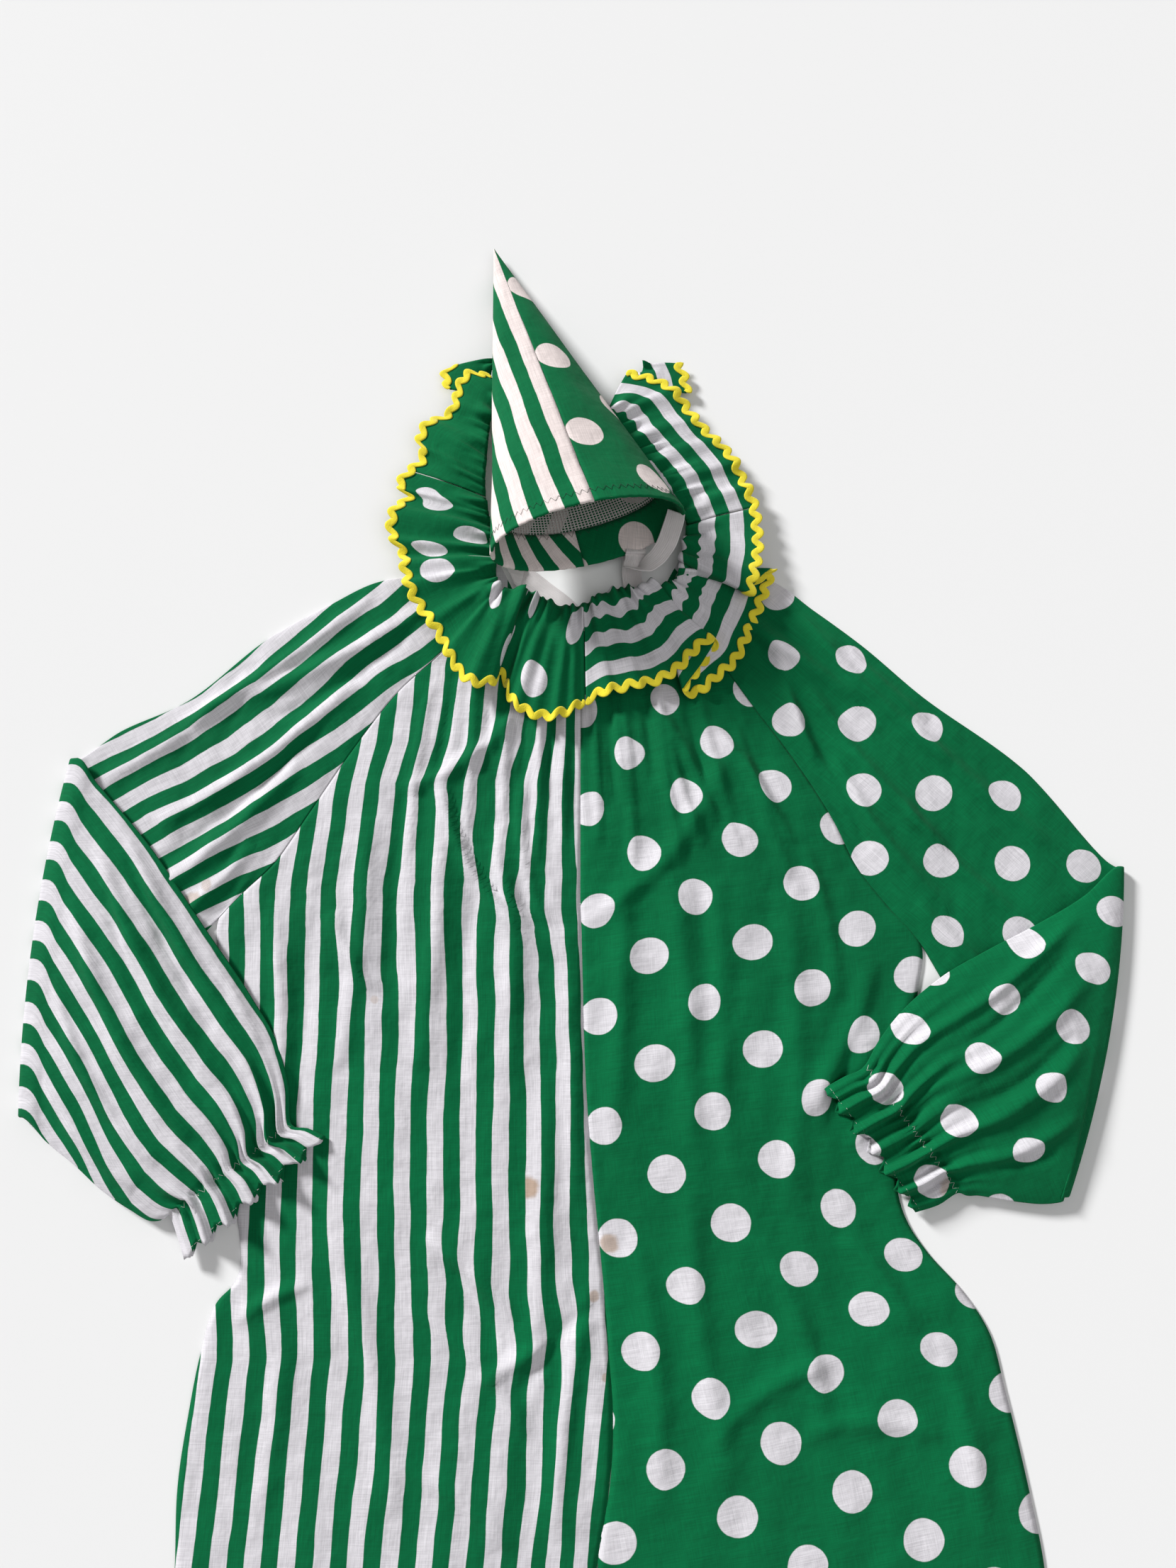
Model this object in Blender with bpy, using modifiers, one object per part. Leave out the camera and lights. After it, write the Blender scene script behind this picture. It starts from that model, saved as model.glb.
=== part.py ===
"""Clown costume laid flat: a one-piece suit with raglan sleeves and a ruffled collar, and its cone hat.

Metres, +Z up. The suit lies on its back with the neck towards +Y, and the frame's origin is on the
ground in the middle of the whole object. Tables give places on the suit from the point CENTRE.
"""
import math

import bpy
from mathutils import Vector

# Driving sizes
CENTRE_X = -0.0062           # middle of the whole object, in the tables' own measure
CENTRE_Y = -0.4217
WALL = 0.0012                # cloth as a wall
LAY_GAP = 0.0004             # air between two cloths that lie on each other
SEAM_GAP = 0.0004            # air between two panels that are sewn edge to edge
FRONT_BASE = WALL + LAY_GAP  # underside of the fronts, which lie on the backs
SLEEVE_TURN_RADIUS = 0.0015  # inner radius where a sleeve folds back over itself
SLEEVE_FLAT = FRONT_BASE + WALL
CREASE_HEIGHT = 0.0040       # height of the flattened sleeve where it folds back
SHOULDER_RISE = 0.0002       # how much the sleeve stands over the front at the raglan seam
SWELL_FULLNESS = 0.6         # below 1, a flattened sleeve rises fast from its edges and is flat between
FRONT_FULLNESS = 0.7
FRONT_LIFT = 0.0014          # air under the front's middle at the neck
FRONT_LIFT_BELOW = 0.0018    # and how much more there is below the collar
COLLAR_EDGE_Y = 0.02         # where the collar starts to press the front down, and over what length
COLLAR_EDGE_LENGTH = 0.10
COLLAR_LIFT = 0.003          # the ruffle stands this much over the heights in its tables
RICKRACK_WIDTH = 0.0125
ELASTIC_WIDTH = 0.019
ELASTIC_WALL = 0.0010
BODY_COLUMNS = 10            # points across each half of the suit
RAGLAN_POINTS = 8            # how many of a side's first points are on the raglan seam

# Hat: a cone lying on its side, a little flattened by its own weight
HAT_APEX = Vector((-0.0974, 0.5640, 0.0080))
HAT_RIM_CENTRE = Vector((0.0010, 0.2216, 0.0655))
HAT_SIDE = Vector((-0.9583, -0.2527, 0.1336))
HAT_UP = Vector((0.0902, 0.1762, 0.9802))
HAT_HALF_WIDTH = 0.0943
HAT_HALF_HEIGHT = 0.0540
HAT_FACING = 0.90            # the turned-in hem reaches from the rim back to this share of the length
HAT_TIP = 0.03               # share of the length where the cone starts
HAT_TIP_WALL = 0.0009        # the cloth is thinner at the tip, where its two sides come together
HAT_FULL_WALL = 0.12         # share of the length from where the cloth has its full wall
HAT_MIDDLE = 0.5
HAT_HEM_TURN = 0.992         # share of the length where the hem turns in
HAT_SEAM_TURN = 0.0015       # radians from the seams to the edges of the two halves
NET_ROWS = (0.14, 0.55, 0.985)  # shares of the length from the lining's top to its edge
HAT_STEPS = 10

# The suit's edges from the neck down, with a point for each section of the body. The side's first
# eight points are the raglan seam, and both halves share the centre line as far as the crotch.
CENTRE_LINE = (
    # x, y
    (-0.008, 0.171),
    (-0.007, 0.125),
    (-0.007, 0.082),
    (-0.007, 0.027),
    (-0.007, -0.034),
    (-0.007, -0.078),
    (-0.007, -0.110),
    (-0.006, -0.136),
    (-0.005, -0.175),
    (-0.002, -0.270),
    (0.005, -0.360),
    (0.012, -0.428),
    (0.015, -0.460),
    (0.018, -0.500),
    (0.021, -0.540),
    (0.018, -0.600),
    (0.008, -0.655),
)
STRIPE_SIDE = (
    # x, y
    (-0.093, 0.188),
    (-0.141, 0.129),
    (-0.179, 0.092),
    (-0.224, 0.030),
    (-0.261, -0.029),
    (-0.292, -0.077),
    (-0.318, -0.103),
    (-0.337, -0.124),
    (-0.338, -0.155),
    (-0.320, -0.260),
    (-0.312, -0.355),
    (-0.303, -0.438),
    (-0.319, -0.456),
    (-0.330, -0.497),
    (-0.337, -0.545),
    (-0.342, -0.600),
    (-0.340, -0.655),
)
DOT_SIDE = (
    # x, y
    (0.084, 0.190),
    (0.120, 0.131),
    (0.155, 0.078),
    (0.192, 0.026),
    (0.230, -0.038),
    (0.248, -0.078),
    (0.275, -0.115),
    (0.303, -0.147),
    (0.298, -0.195),
    (0.284, -0.280),
    (0.272, -0.372),
    (0.294, -0.415),
    (0.322, -0.446),
    (0.343, -0.480),
    (0.353, -0.525),
    (0.367, -0.600),
    (0.375, -0.655),
)
STRIPE_LEG = (
    # side_x, side_y, centre_x, centre_y
    (-0.337, -0.760, -0.016, -0.760),
    (-0.330, -0.960, -0.036, -0.960),
    (-0.322, -1.180, -0.048, -1.180),
    (-0.315, -1.398, -0.056, -1.398),
)
DOT_LEG = (
    # side_x, side_y, centre_x, centre_y
    (0.372, -0.760, 0.034, -0.760),
    (0.362, -0.960, 0.054, -0.960),
    (0.352, -1.180, 0.066, -1.180),
    (0.343, -1.398, 0.074, -1.398),
)
# The backs reach past the shoulders to the collar's spread ends, and a slit opens down their centre.
STRIPE_BACK_TOP = (
    # side_x, side_y, centre_x, centre_y
    (-0.122, 0.392, -0.101, 0.400),
    (-0.135, 0.340, -0.103, 0.340),
    (-0.135, 0.290, -0.101, 0.290),
    (-0.125, 0.242, -0.094, 0.240),
    (-0.096, 0.213, -0.080, 0.207),
)
DOT_BACK_TOP = (
    # side_x, side_y, centre_x, centre_y
    (0.068, 0.392, 0.043, 0.400),
    (0.100, 0.340, 0.064, 0.340),
    (0.122, 0.290, 0.092, 0.290),
    (0.122, 0.242, 0.096, 0.240),
    (0.089, 0.214, 0.080, 0.207),
)
SLIT_EDGES = (
    # half of the slit's width at the first rows of the backs
    0.062,
    0.048,
    0.030,
    0.010,
)
SLIT_MIDDLE_X = 0.000

# Sleeves: the folded top edge and the underarm edge, from the shoulder to the fold-back, then from
# the fold-back to the cuff. The section between the two edges bows outward by "bow".
STRIPE_SHOULDER = (-0.103, 0.208)
DOT_SHOULDER = (0.096, 0.208)
STRIPE_UPPER = (
    # top_x, top_y, under, height: under is the share of the way along the underarm edge
    (-0.150, 0.206, 0.10, 0.0050),
    (-0.203, 0.200, 0.22, 0.0060),
    (-0.252, 0.175, 0.36, 0.0060),
    (-0.306, 0.143, 0.50, 0.0055),
    (-0.383, 0.078, 0.70, 0.0050),
    (-0.443, 0.049, 0.87, 0.0044),
)
DOT_UPPER = (
    # top_x, top_y, under, height
    (0.135, 0.208, 0.10, 0.0050),
    (0.177, 0.201, 0.20, 0.0060),
    (0.219, 0.170, 0.32, 0.0060),
    (0.263, 0.135, 0.45, 0.0058),
    (0.317, 0.085, 0.62, 0.0052),
    (0.410, 0.012, 0.84, 0.0044),
)
STRIPE_CREASE = ((-0.487, 0.021), (-0.503, -0.300), 0.010)
DOT_CREASE = ((0.494, -0.081), (0.420, -0.367), 0.012)
STRIPE_LOWER = (
    # top_x, top_y, under_x, under_y, bow, height
    (-0.458, -0.003, -0.476, -0.320, 0.010, 0.0090),
    (-0.408, -0.058, -0.449, -0.340, 0.012, 0.0130),
    (-0.349, -0.137, -0.422, -0.362, 0.010, 0.0150),
    (-0.303, -0.199, -0.396, -0.378, 0.006, 0.0150),
    (-0.278, -0.239, -0.378, -0.387, 0.003, 0.0130),
    (-0.266, -0.277, -0.367, -0.386, 0.001, 0.0100),
    (-0.262, -0.308, -0.361, -0.383, 0.000, 0.0080),
    (-0.247, -0.312, -0.354, -0.398, 0.000, 0.0090),
    (-0.231, -0.319, -0.346, -0.419, 0.002, 0.0100),
)
DOT_LOWER = (
    # top_x, top_y, under_x, under_y, bow, height
    (0.455, -0.107, 0.412, -0.371, 0.012, 0.0090),
    (0.410, -0.133, 0.395, -0.373, 0.014, 0.0130),
    (0.362, -0.157, 0.372, -0.371, 0.012, 0.0150),
    (0.319, -0.181, 0.352, -0.368, 0.008, 0.0150),
    (0.281, -0.212, 0.338, -0.366, 0.004, 0.0130),
    (0.258, -0.240, 0.328, -0.366, 0.001, 0.0100),
    (0.247, -0.258, 0.321, -0.364, 0.000, 0.0080),
    (0.228, -0.268, 0.303, -0.374, 0.000, 0.0090),
    (0.209, -0.278, 0.283, -0.380, 0.003, 0.0100),
)

# Collar: one row for each fold or wave, from the centre front outward. The gathered edge and the hem
# are joined row by row, and the hem doubles back under itself where its x or y turns round.
DOT_COLLAR_FRONT = (
    # neck_x, neck_y, neck_z, hem_x, hem_y, hem_z
    (-0.0045, 0.171, 0.011, -0.003, 0.078, 0.010),
    (-0.014, 0.170, 0.011, -0.019, 0.067, 0.011),
    (-0.022, 0.170, 0.011, -0.040, 0.062, 0.012),
    (-0.032, 0.173, 0.011, -0.060, 0.068, 0.011),
    (-0.042, 0.178, 0.011, -0.073, 0.081, 0.009),
    (-0.049, 0.182, 0.011, -0.080, 0.103, 0.005),
    (-0.056, 0.185, 0.012, -0.097, 0.111, 0.009),
    (-0.061, 0.187, 0.013, -0.086, 0.098, 0.012),
    (-0.065, 0.188, 0.016, -0.087, 0.096, 0.017),
    (-0.071, 0.187, 0.016, -0.106, 0.092, 0.020),
    (-0.077, 0.186, 0.014, -0.118, 0.101, 0.018),
    (-0.082, 0.188, 0.011, -0.130, 0.120, 0.014),
    (-0.086, 0.193, 0.011, -0.143, 0.146, 0.013),
    (-0.088, 0.199, 0.011, -0.158, 0.167, 0.012),
    (-0.089, 0.206, 0.011, -0.169, 0.185, 0.012),
    (-0.089, 0.213, 0.011, -0.176, 0.209, 0.013),
    (-0.089, 0.220, 0.011, -0.178, 0.224, 0.007),
    (-0.090, 0.229, 0.011, -0.189, 0.242, 0.010),
    (-0.092, 0.240, 0.011, -0.191, 0.260, 0.013),
    (-0.094, 0.250, 0.011, -0.184, 0.276, 0.009),
    (-0.096, 0.261, 0.011, -0.175, 0.286, 0.006),
    (-0.098, 0.272, 0.011, -0.185, 0.297, 0.008),
    (-0.100, 0.283, 0.011, -0.175, 0.312, 0.010),
)
DOT_COLLAR_BACK = (
    # neck_x, neck_y, neck_z, hem_x, hem_y, hem_z
    (-0.100, 0.284, 0.011, -0.175, 0.313, 0.010),
    (-0.101, 0.296, 0.011, -0.162, 0.327, 0.006),
    (-0.101, 0.310, 0.011, -0.166, 0.345, 0.011),
    (-0.100, 0.325, 0.011, -0.160, 0.360, 0.010),
    (-0.099, 0.340, 0.011, -0.148, 0.370, 0.006),
    (-0.098, 0.355, 0.011, -0.137, 0.374, 0.008),
    (-0.097, 0.370, 0.011, -0.131, 0.390, 0.012),
    (-0.095, 0.388, 0.011, -0.134, 0.407, 0.011),
    (-0.092, 0.412, 0.008, -0.141, 0.418, 0.007),
    (-0.090, 0.434, 0.003, -0.142, 0.429, 0.003),
)
STRIPE_COLLAR_FRONT = (
    # neck_x, neck_y, neck_z, hem_x, hem_y, hem_z
    (-0.0035, 0.171, 0.011, -0.002, 0.078, 0.010),
    (0.003, 0.176, 0.011, 0.014, 0.086, 0.011),
    (0.011, 0.182, 0.011, 0.032, 0.090, 0.012),
    (0.020, 0.186, 0.011, 0.052, 0.094, 0.012),
    (0.030, 0.188, 0.011, 0.071, 0.099, 0.013),
    (0.040, 0.189, 0.011, 0.088, 0.112, 0.014),
    (0.047, 0.190, 0.013, 0.104, 0.129, 0.018),
    (0.052, 0.190, 0.014, 0.118, 0.137, 0.020),
    (0.055, 0.190, 0.012, 0.120, 0.136, 0.016),
    (0.058, 0.189, 0.011, 0.111, 0.119, 0.012),
    (0.061, 0.188, 0.012, 0.091, 0.091, 0.010),
    (0.063, 0.188, 0.009, 0.089, 0.088, 0.006),
    (0.065, 0.188, 0.008, 0.102, 0.087, 0.005),
    (0.069, 0.189, 0.009, 0.120, 0.101, 0.006),
    (0.073, 0.191, 0.011, 0.139, 0.118, 0.007),
    (0.078, 0.194, 0.011, 0.150, 0.140, 0.007),
    (0.082, 0.197, 0.011, 0.160, 0.163, 0.007),
    (0.085, 0.201, 0.011, 0.169, 0.186, 0.006),
    (0.087, 0.204, 0.011, 0.177, 0.207, 0.005),
    (0.088, 0.207, 0.011, 0.178, 0.210, 0.009),
    (0.088, 0.210, 0.012, 0.163, 0.197, 0.012),
    (0.089, 0.214, 0.013, 0.152, 0.181, 0.015),
    (0.089, 0.217, 0.016, 0.153, 0.179, 0.020),
    (0.090, 0.223, 0.016, 0.158, 0.200, 0.021),
    (0.091, 0.231, 0.014, 0.163, 0.222, 0.018),
    (0.094, 0.242, 0.011, 0.164, 0.247, 0.014),
    (0.098, 0.253, 0.011, 0.162, 0.272, 0.012),
)
STRIPE_COLLAR_BACK = (
    # neck_x, neck_y, neck_z, hem_x, hem_y, hem_z
    (0.098, 0.254, 0.011, 0.162, 0.273, 0.012),
    (0.088, 0.270, 0.011, 0.155, 0.293, 0.010),
    (0.075, 0.288, 0.011, 0.147, 0.314, 0.009),
    (0.062, 0.304, 0.011, 0.138, 0.330, 0.011),
    (0.052, 0.320, 0.011, 0.126, 0.344, 0.009),
    (0.043, 0.336, 0.011, 0.113, 0.358, 0.011),
    (0.035, 0.352, 0.011, 0.100, 0.376, 0.009),
    (0.029, 0.368, 0.011, 0.092, 0.391, 0.011),
    (0.031, 0.386, 0.010, 0.096, 0.408, 0.009),
    (0.041, 0.404, 0.006, 0.096, 0.422, 0.005),
    (0.044, 0.420, 0.003, 0.090, 0.435, 0.003),
)
COLLAR_BULGE = 0.003         # how much the ruffle's middle stands over a straight line
COLLAR_SPANS = 4             # faces from the gathered edge to the hem
TAPE_GAP = 0.0010            # air between the ruffle and the tape on its hem

# Chin elastic: its route, and which way its width points. It leaves the hat's rim on the right,
# loops once, runs under the front neckline and comes up to the rim on the left.
ELASTIC_ROUTE = (
    # x, y, z, width_x, width_y, width_z
    (0.0790, 0.2380, 0.0560, 0.50, -0.35, 0.79),
    (0.0790, 0.2240, 0.0480, 0.62, -0.30, 0.72),
    (0.0710, 0.2090, 0.0380, 0.62, -0.45, 0.64),
    (0.0590, 0.2000, 0.0310, 0.35, -0.70, 0.62),
    (0.0470, 0.1980, 0.0270, 0.00, -0.60, 0.80),
    (0.0390, 0.2030, 0.0240, -0.40, -0.40, 0.82),
    (0.0360, 0.2120, 0.0190, -0.75, 0.00, 0.66),
    (0.0400, 0.2190, 0.0130, -1.00, 0.10, 0.10),
    (0.0430, 0.2100, 0.0070, -1.00, 0.00, 0.00),
    (0.0430, 0.1950, 0.0030, -1.00, 0.00, 0.00),
    (0.0420, 0.1800, 0.0010, -1.00, 0.00, 0.00),
    (0.0370, 0.1630, 0.0009, -0.90, 0.40, 0.00),
    (0.0230, 0.1510, 0.0009, -0.50, 0.85, 0.00),
    (0.0040, 0.1470, 0.0009, 0.00, 1.00, 0.00),
    (-0.0140, 0.1560, 0.0009, 0.65, 0.75, 0.00),
    (-0.0270, 0.1740, 0.0009, 0.79, 0.61, 0.00),
    (-0.0380, 0.1900, 0.0012, 0.79, 0.61, 0.00),
    (-0.0500, 0.1990, 0.0070, 0.70, 0.70, 0.00),
    (-0.0630, 0.2030, 0.0170, 0.65, 0.60, -0.40),
)


def placed(x, y, z):
    """A table's point in the object's own frame."""
    return Vector((x - CENTRE_X, y - CENTRE_Y, z))


def material(name, colour, roughness):
    made = bpy.data.materials.new(name)
    made.use_nodes = True
    shader = made.node_tree.nodes["Principled BSDF"]
    shader.inputs["Base Color"].default_value = (*colour, 1.0)
    shader.inputs["Roughness"].default_value = roughness
    return made


def grid_object(name, sections, look, closed=False):
    """An open surface lofted through sections that all have the same number of points."""
    count = len(sections[0])
    points = [point for section in sections for point in section]
    spans = count if closed else count - 1
    faces = []
    for row in range(len(sections) - 1):
        for column in range(spans):
            here = row * count + column
            beside = row * count + (column + 1) % count
            faces.append((here, beside, beside + count, here + count))
    mesh = bpy.data.meshes.new(name)
    mesh.from_pydata(points, [], faces)
    mesh.materials.append(look)
    mesh.shade_smooth()
    made = bpy.data.objects.new(name, mesh)
    suit.objects.link(made)
    return made


def thicken(made, wall, side):
    """Solidify: side -1 adds the wall behind the faces, 1 in front of them, 0 on both sides."""
    solid = made.modifiers.new("Wall", "SOLIDIFY")
    solid.thickness = wall
    solid.offset = side
    return made


def blend(first, second, share):
    return first + (second - first) * share


def ease(share):
    """0 to 1 with a soft start and end."""
    share = min(1.0, max(0.0, share))
    return share * share * (3.0 - 2.0 * share)


def front_lift(across, y):
    """How much the air in the suit lifts the fronts: none at the edges, most down the middle."""
    body = math.sin(math.pi * across) ** FRONT_FULLNESS
    below_collar = 1.0 - ease((y - COLLAR_EDGE_Y) / COLLAR_EDGE_LENGTH)
    return body * (FRONT_LIFT + FRONT_LIFT_BELOW * below_collar)


def panel(name, rows, look, base, lifted, turn):
    """One half of the suit, from the neck or the slit down to the hem of its leg."""
    sections = []
    for side_x, side_y, centre_x, centre_y in rows:
        section = []
        for column in range(BODY_COLUMNS):
            across = column / (BODY_COLUMNS - 1)
            x = blend(side_x, centre_x, across)
            y = blend(side_y, centre_y, across)
            lift = front_lift(across, y) if lifted else 0.0
            section.append(placed(x, y, base + lift))
        sections.append(section[::turn])
    return thicken(grid_object(name, sections, look), WALL, 1)


def body_rows(side, leg, gap):
    """The body's and the leg's rows, with the centre edge drawn back by half of the seam's gap."""
    body = [(*edge, middle[0] + gap, middle[1]) for edge, middle in zip(side, CENTRE_LINE)]
    return tuple(body) + leg


def back_rows(top, rows, sign):
    """The back's rows: the reach past the shoulder, the slit's edge, then the front's own outline."""
    made = list(top)
    for index, (side_x, side_y, centre_x, centre_y) in enumerate(rows):
        if index < len(SLIT_EDGES):
            centre_x = SLIT_MIDDLE_X + sign * SLIT_EDGES[index]
        made.append((side_x, side_y, centre_x, centre_y))
    return tuple(made)


def bent_line(top, under, bow, outward, count):
    """Points from the top edge to the underarm edge, bowed outward in the middle."""
    line = []
    for step in range(count):
        share = step / (count - 1)
        middle = blend(Vector(top), Vector(under), share)
        line.append(middle + Vector(outward) * bow * 4.0 * share * (1.0 - share))
    return line


def flat_ring(line, low, high, front_up):
    """A flattened tube's section over a line of points. Its first half is the sleeve's front."""
    count = len(line)
    front = []
    back = []
    for step, point in enumerate(line):
        swell = math.sin(math.pi * step / (count - 1)) ** SWELL_FULLNESS
        top = low + SLEEVE_FLAT + (high - SLEEVE_FLAT) * swell
        front.append(placed(point.x, point.y, top if front_up else low))
        back.append(placed(point.x, point.y, low if front_up else top))
    return closed_ring(front, back)


def closed_ring(front, back):
    """Front points, a rounded end, the back points reversed, and the other rounded end."""
    ends = []
    for end, inner in ((-1, -2), (0, 1)):
        middle = (front[end] + back[end]) / 2.0
        away = (front[end] - front[inner]).normalized()
        away.z = 0.0
        ends.append(middle + away * (front[end] - back[end]).length * 0.5)
    return front + [ends[0]] + back[::-1] + [ends[1]]


def sleeve(name, side, shoulder, upper, crease, lower, look):
    """A raglan sleeve: a flattened tube that folds back over itself at the elbow."""
    outward = Vector((math.copysign(1.0, shoulder[0]), 0.0))
    raglan = [Vector(point) for point in side[:RAGLAN_POINTS]]
    along = (raglan[-1] - raglan[0]).normalized()
    away = Vector((along.y, -along.x))
    if away.dot(outward) < 0.0:
        away = -away
    seam = [Vector(shoulder)] + [point + away * SEAM_GAP for point in raglan]
    count = len(seam)
    armpit = seam[-1]
    top_corner = Vector(crease[0])
    under_corner = Vector(crease[1])
    rings = [flat_ring(seam, 0.0, SLEEVE_FLAT + SHOULDER_RISE, True)]
    for top_x, top_y, under, height in upper:
        line = bent_line((top_x, top_y), blend(armpit, under_corner, under), 0.0, outward, count)
        rings.append(flat_ring(line, 0.0, height, True))
    rings += turned_rings(top_corner, under_corner, crease[2], outward, count)
    low = CREASE_HEIGHT + 2.0 * SLEEVE_TURN_RADIUS
    for top_x, top_y, under_x, under_y, bow, height in lower:
        line = bent_line((top_x, top_y), (under_x, under_y), bow, outward, count)
        rings.append(flat_ring(line, low, height, False))
    if outward.x < 0.0:
        rings = [ring[::-1] for ring in rings]
    return thicken(grid_object(name, rings, look, closed=True), WALL, -1)


def turned_rings(top, under, bow, outward, count):
    """The half turn at the crease: the front is inside the bend and the back goes round it."""
    outer = SLEEVE_TURN_RADIUS + CREASE_HEIGHT
    axis_z = CREASE_HEIGHT + SLEEVE_TURN_RADIUS
    line = bent_line(top, under, bow, outward, count)
    rings = []
    for degrees in (0, 45, 90, 135, 180):
        angle = math.radians(degrees)
        front = []
        back = []
        for point in line:
            axis = point - outward * outer
            for side, radius in ((front, SLEEVE_TURN_RADIUS), (back, outer)):
                reach = axis + outward * radius * math.sin(angle)
                side.append(placed(reach.x, reach.y, axis_z - radius * math.cos(angle)))
        rings.append(closed_ring(front, back))
    return rings


def collar_point(row, share):
    """A point of the ruffle between its gathered edge (0) and its hem (1, or a little past it)."""
    neck = Vector(row[:3])
    hem = Vector(row[3:])
    point = blend(neck, hem, share)
    bulge = COLLAR_BULGE * 4.0 * share * (1.0 - share)
    return placed(point.x, point.y, point.z + bulge + COLLAR_LIFT)


def ruffle_strip(name, rows, first, last, spans, look):
    """The part of the ruffle between two shares of its width, where a function gives each share."""
    sections = []
    for row in rows:
        low = first(row)
        high = last(row)
        sections.append([collar_point(row, blend(low, high, span / spans)) for span in range(spans + 1)])
    return thicken(grid_object(name, sections, look), WALL, 0)


def share_at(row, past_hem):
    """The share of a row that lies the given distance past the hem."""
    return 1.0 + past_hem / math.hypot(row[3] - row[0], row[4] - row[1])


def collar(name, rows, look):
    """A piece of the ruffle, as far as the tape on its hem."""
    inner = -RICKRACK_WIDTH / 2.0
    return ruffle_strip(name, rows, lambda row: 0.0, lambda row: share_at(row, inner), COLLAR_SPANS, look)


def rickrack(name, rows, look):
    """The tape along the hem, in the ruffle's own surface."""
    half = RICKRACK_WIDTH / 2.0
    inner = TAPE_GAP - half
    return ruffle_strip(name, rows, lambda row: share_at(row, inner), lambda row: share_at(row, half), 1, look)


def hat_point(along, turn, inset):
    """A point of the cone: its share of the length, its turn round the axis and its depth."""
    centre = blend(HAT_APEX, HAT_RIM_CENTRE, along)
    side = HAT_SIDE * math.cos(turn) * (HAT_HALF_WIDTH * along - inset)
    up = HAT_UP * math.sin(turn) * (HAT_HALF_HEIGHT * along - inset)
    point = centre + side + up
    return placed(point.x, point.y, point.z)


def hat_half(name, first, last, look):
    """Half of the cone with its hem turned in: one outline swept round the axis."""
    inner = WALL + LAY_GAP + WALL + LAY_GAP
    outline = (
        # along, inset
        (HAT_TIP, 0.0),
        (HAT_MIDDLE, 0.0),
        (1.0, 0.0),
        (1.0, inner + WALL),
        (HAT_FACING, inner + WALL),
        (HAT_FACING, inner),
        (HAT_HEM_TURN, inner),
        (HAT_HEM_TURN, WALL),
        (HAT_FULL_WALL, WALL),
        (HAT_TIP, HAT_TIP_WALL),
    )
    sections = []
    for step in range(HAT_STEPS + 1):
        turn = blend(first, last, step / HAT_STEPS)
        sections.append([hat_point(along, turn, inset) for along, inset in outline])
    made = grid_object(name, sections, look, closed=True)
    return cap_ends(made, len(outline), len(sections))


def cap_ends(made, count, rows):
    """Closes the first and the last section of a swept outline."""
    mesh = made.data
    points = [vertex.co.copy() for vertex in mesh.vertices]
    faces = [tuple(face.vertices) for face in mesh.polygons]
    faces.append(tuple(range(count))[::-1])
    faces.append(tuple(range((rows - 1) * count, rows * count)))
    look = mesh.materials[0]
    mesh.clear_geometry()
    mesh.from_pydata(points, [], faces)
    mesh.materials.clear()
    mesh.materials.append(look)
    return made


def hat_net(name, look):
    """The stiff lining: a cone a little inside the cloth, with its edge under the turned-in hem."""
    depth = WALL + LAY_GAP
    sections = []
    for along in NET_ROWS:
        ring = []
        for step in range(2 * HAT_STEPS):
            ring.append(hat_point(along, math.pi * (0.5 - step / HAT_STEPS), depth))
        sections.append(ring)
    return thicken(grid_object(name, sections, look, closed=True), WALL, -1)


def elastic(name, route, look):
    sections = []
    for x, y, z, width_x, width_y, width_z in route:
        half = Vector((width_x, width_y, width_z)).normalized() * ELASTIC_WIDTH / 2.0
        middle = placed(x, y, z)
        sections.append([middle - half, middle, middle + half])
    return thicken(grid_object(name, sections, look), ELASTIC_WALL, 0)


for leftover in list(bpy.data.objects):
    bpy.data.objects.remove(leftover)
suit = bpy.data.collections.new("clown_costume")
bpy.context.scene.collection.children.link(suit)

striped = material("striped_cotton", (0.30, 0.55, 0.42), 0.85)
dotted = material("dotted_cotton", (0.00, 0.20, 0.06), 0.85)
yellow = material("yellow_rickrack", (0.85, 0.75, 0.05), 0.8)
net = material("white_net", (0.75, 0.75, 0.72), 0.8)
ribbed = material("white_elastic", (0.80, 0.78, 0.76), 0.7)

half_seam = SEAM_GAP / 2.0
stripe_rows = body_rows(STRIPE_SIDE, STRIPE_LEG, -half_seam)
dot_rows = body_rows(DOT_SIDE, DOT_LEG, half_seam)
panel("front_stripe", stripe_rows, striped, FRONT_BASE, True, -1)
panel("front_dot", dot_rows, dotted, FRONT_BASE, True, 1)
panel("back_stripe", back_rows(STRIPE_BACK_TOP, stripe_rows, -1.0), striped, 0.0, False, -1)
panel("back_dot", back_rows(DOT_BACK_TOP, dot_rows, 1.0), dotted, 0.0, False, 1)
sleeve("sleeve_stripe", STRIPE_SIDE, STRIPE_SHOULDER, STRIPE_UPPER, STRIPE_CREASE, STRIPE_LOWER, striped)
sleeve("sleeve_dot", DOT_SIDE, DOT_SHOULDER, DOT_UPPER, DOT_CREASE, DOT_LOWER, dotted)
collar("collar_dot_front", DOT_COLLAR_FRONT, dotted)
collar("collar_dot_back", DOT_COLLAR_BACK, dotted)
collar("collar_stripe_front", STRIPE_COLLAR_FRONT, striped)
collar("collar_stripe_back", STRIPE_COLLAR_BACK, striped)
rickrack("rickrack_dot", DOT_COLLAR_FRONT + DOT_COLLAR_BACK[1:], yellow)
rickrack("rickrack_stripe", STRIPE_COLLAR_FRONT + STRIPE_COLLAR_BACK[1:], yellow)
quarter = math.pi / 2.0
hat_half("hat_stripe", -quarter + HAT_SEAM_TURN, quarter - HAT_SEAM_TURN, striped)
hat_half("hat_dot", quarter + HAT_SEAM_TURN, 3.0 * quarter - HAT_SEAM_TURN, dotted)
hat_net("hat_net", net)
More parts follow.
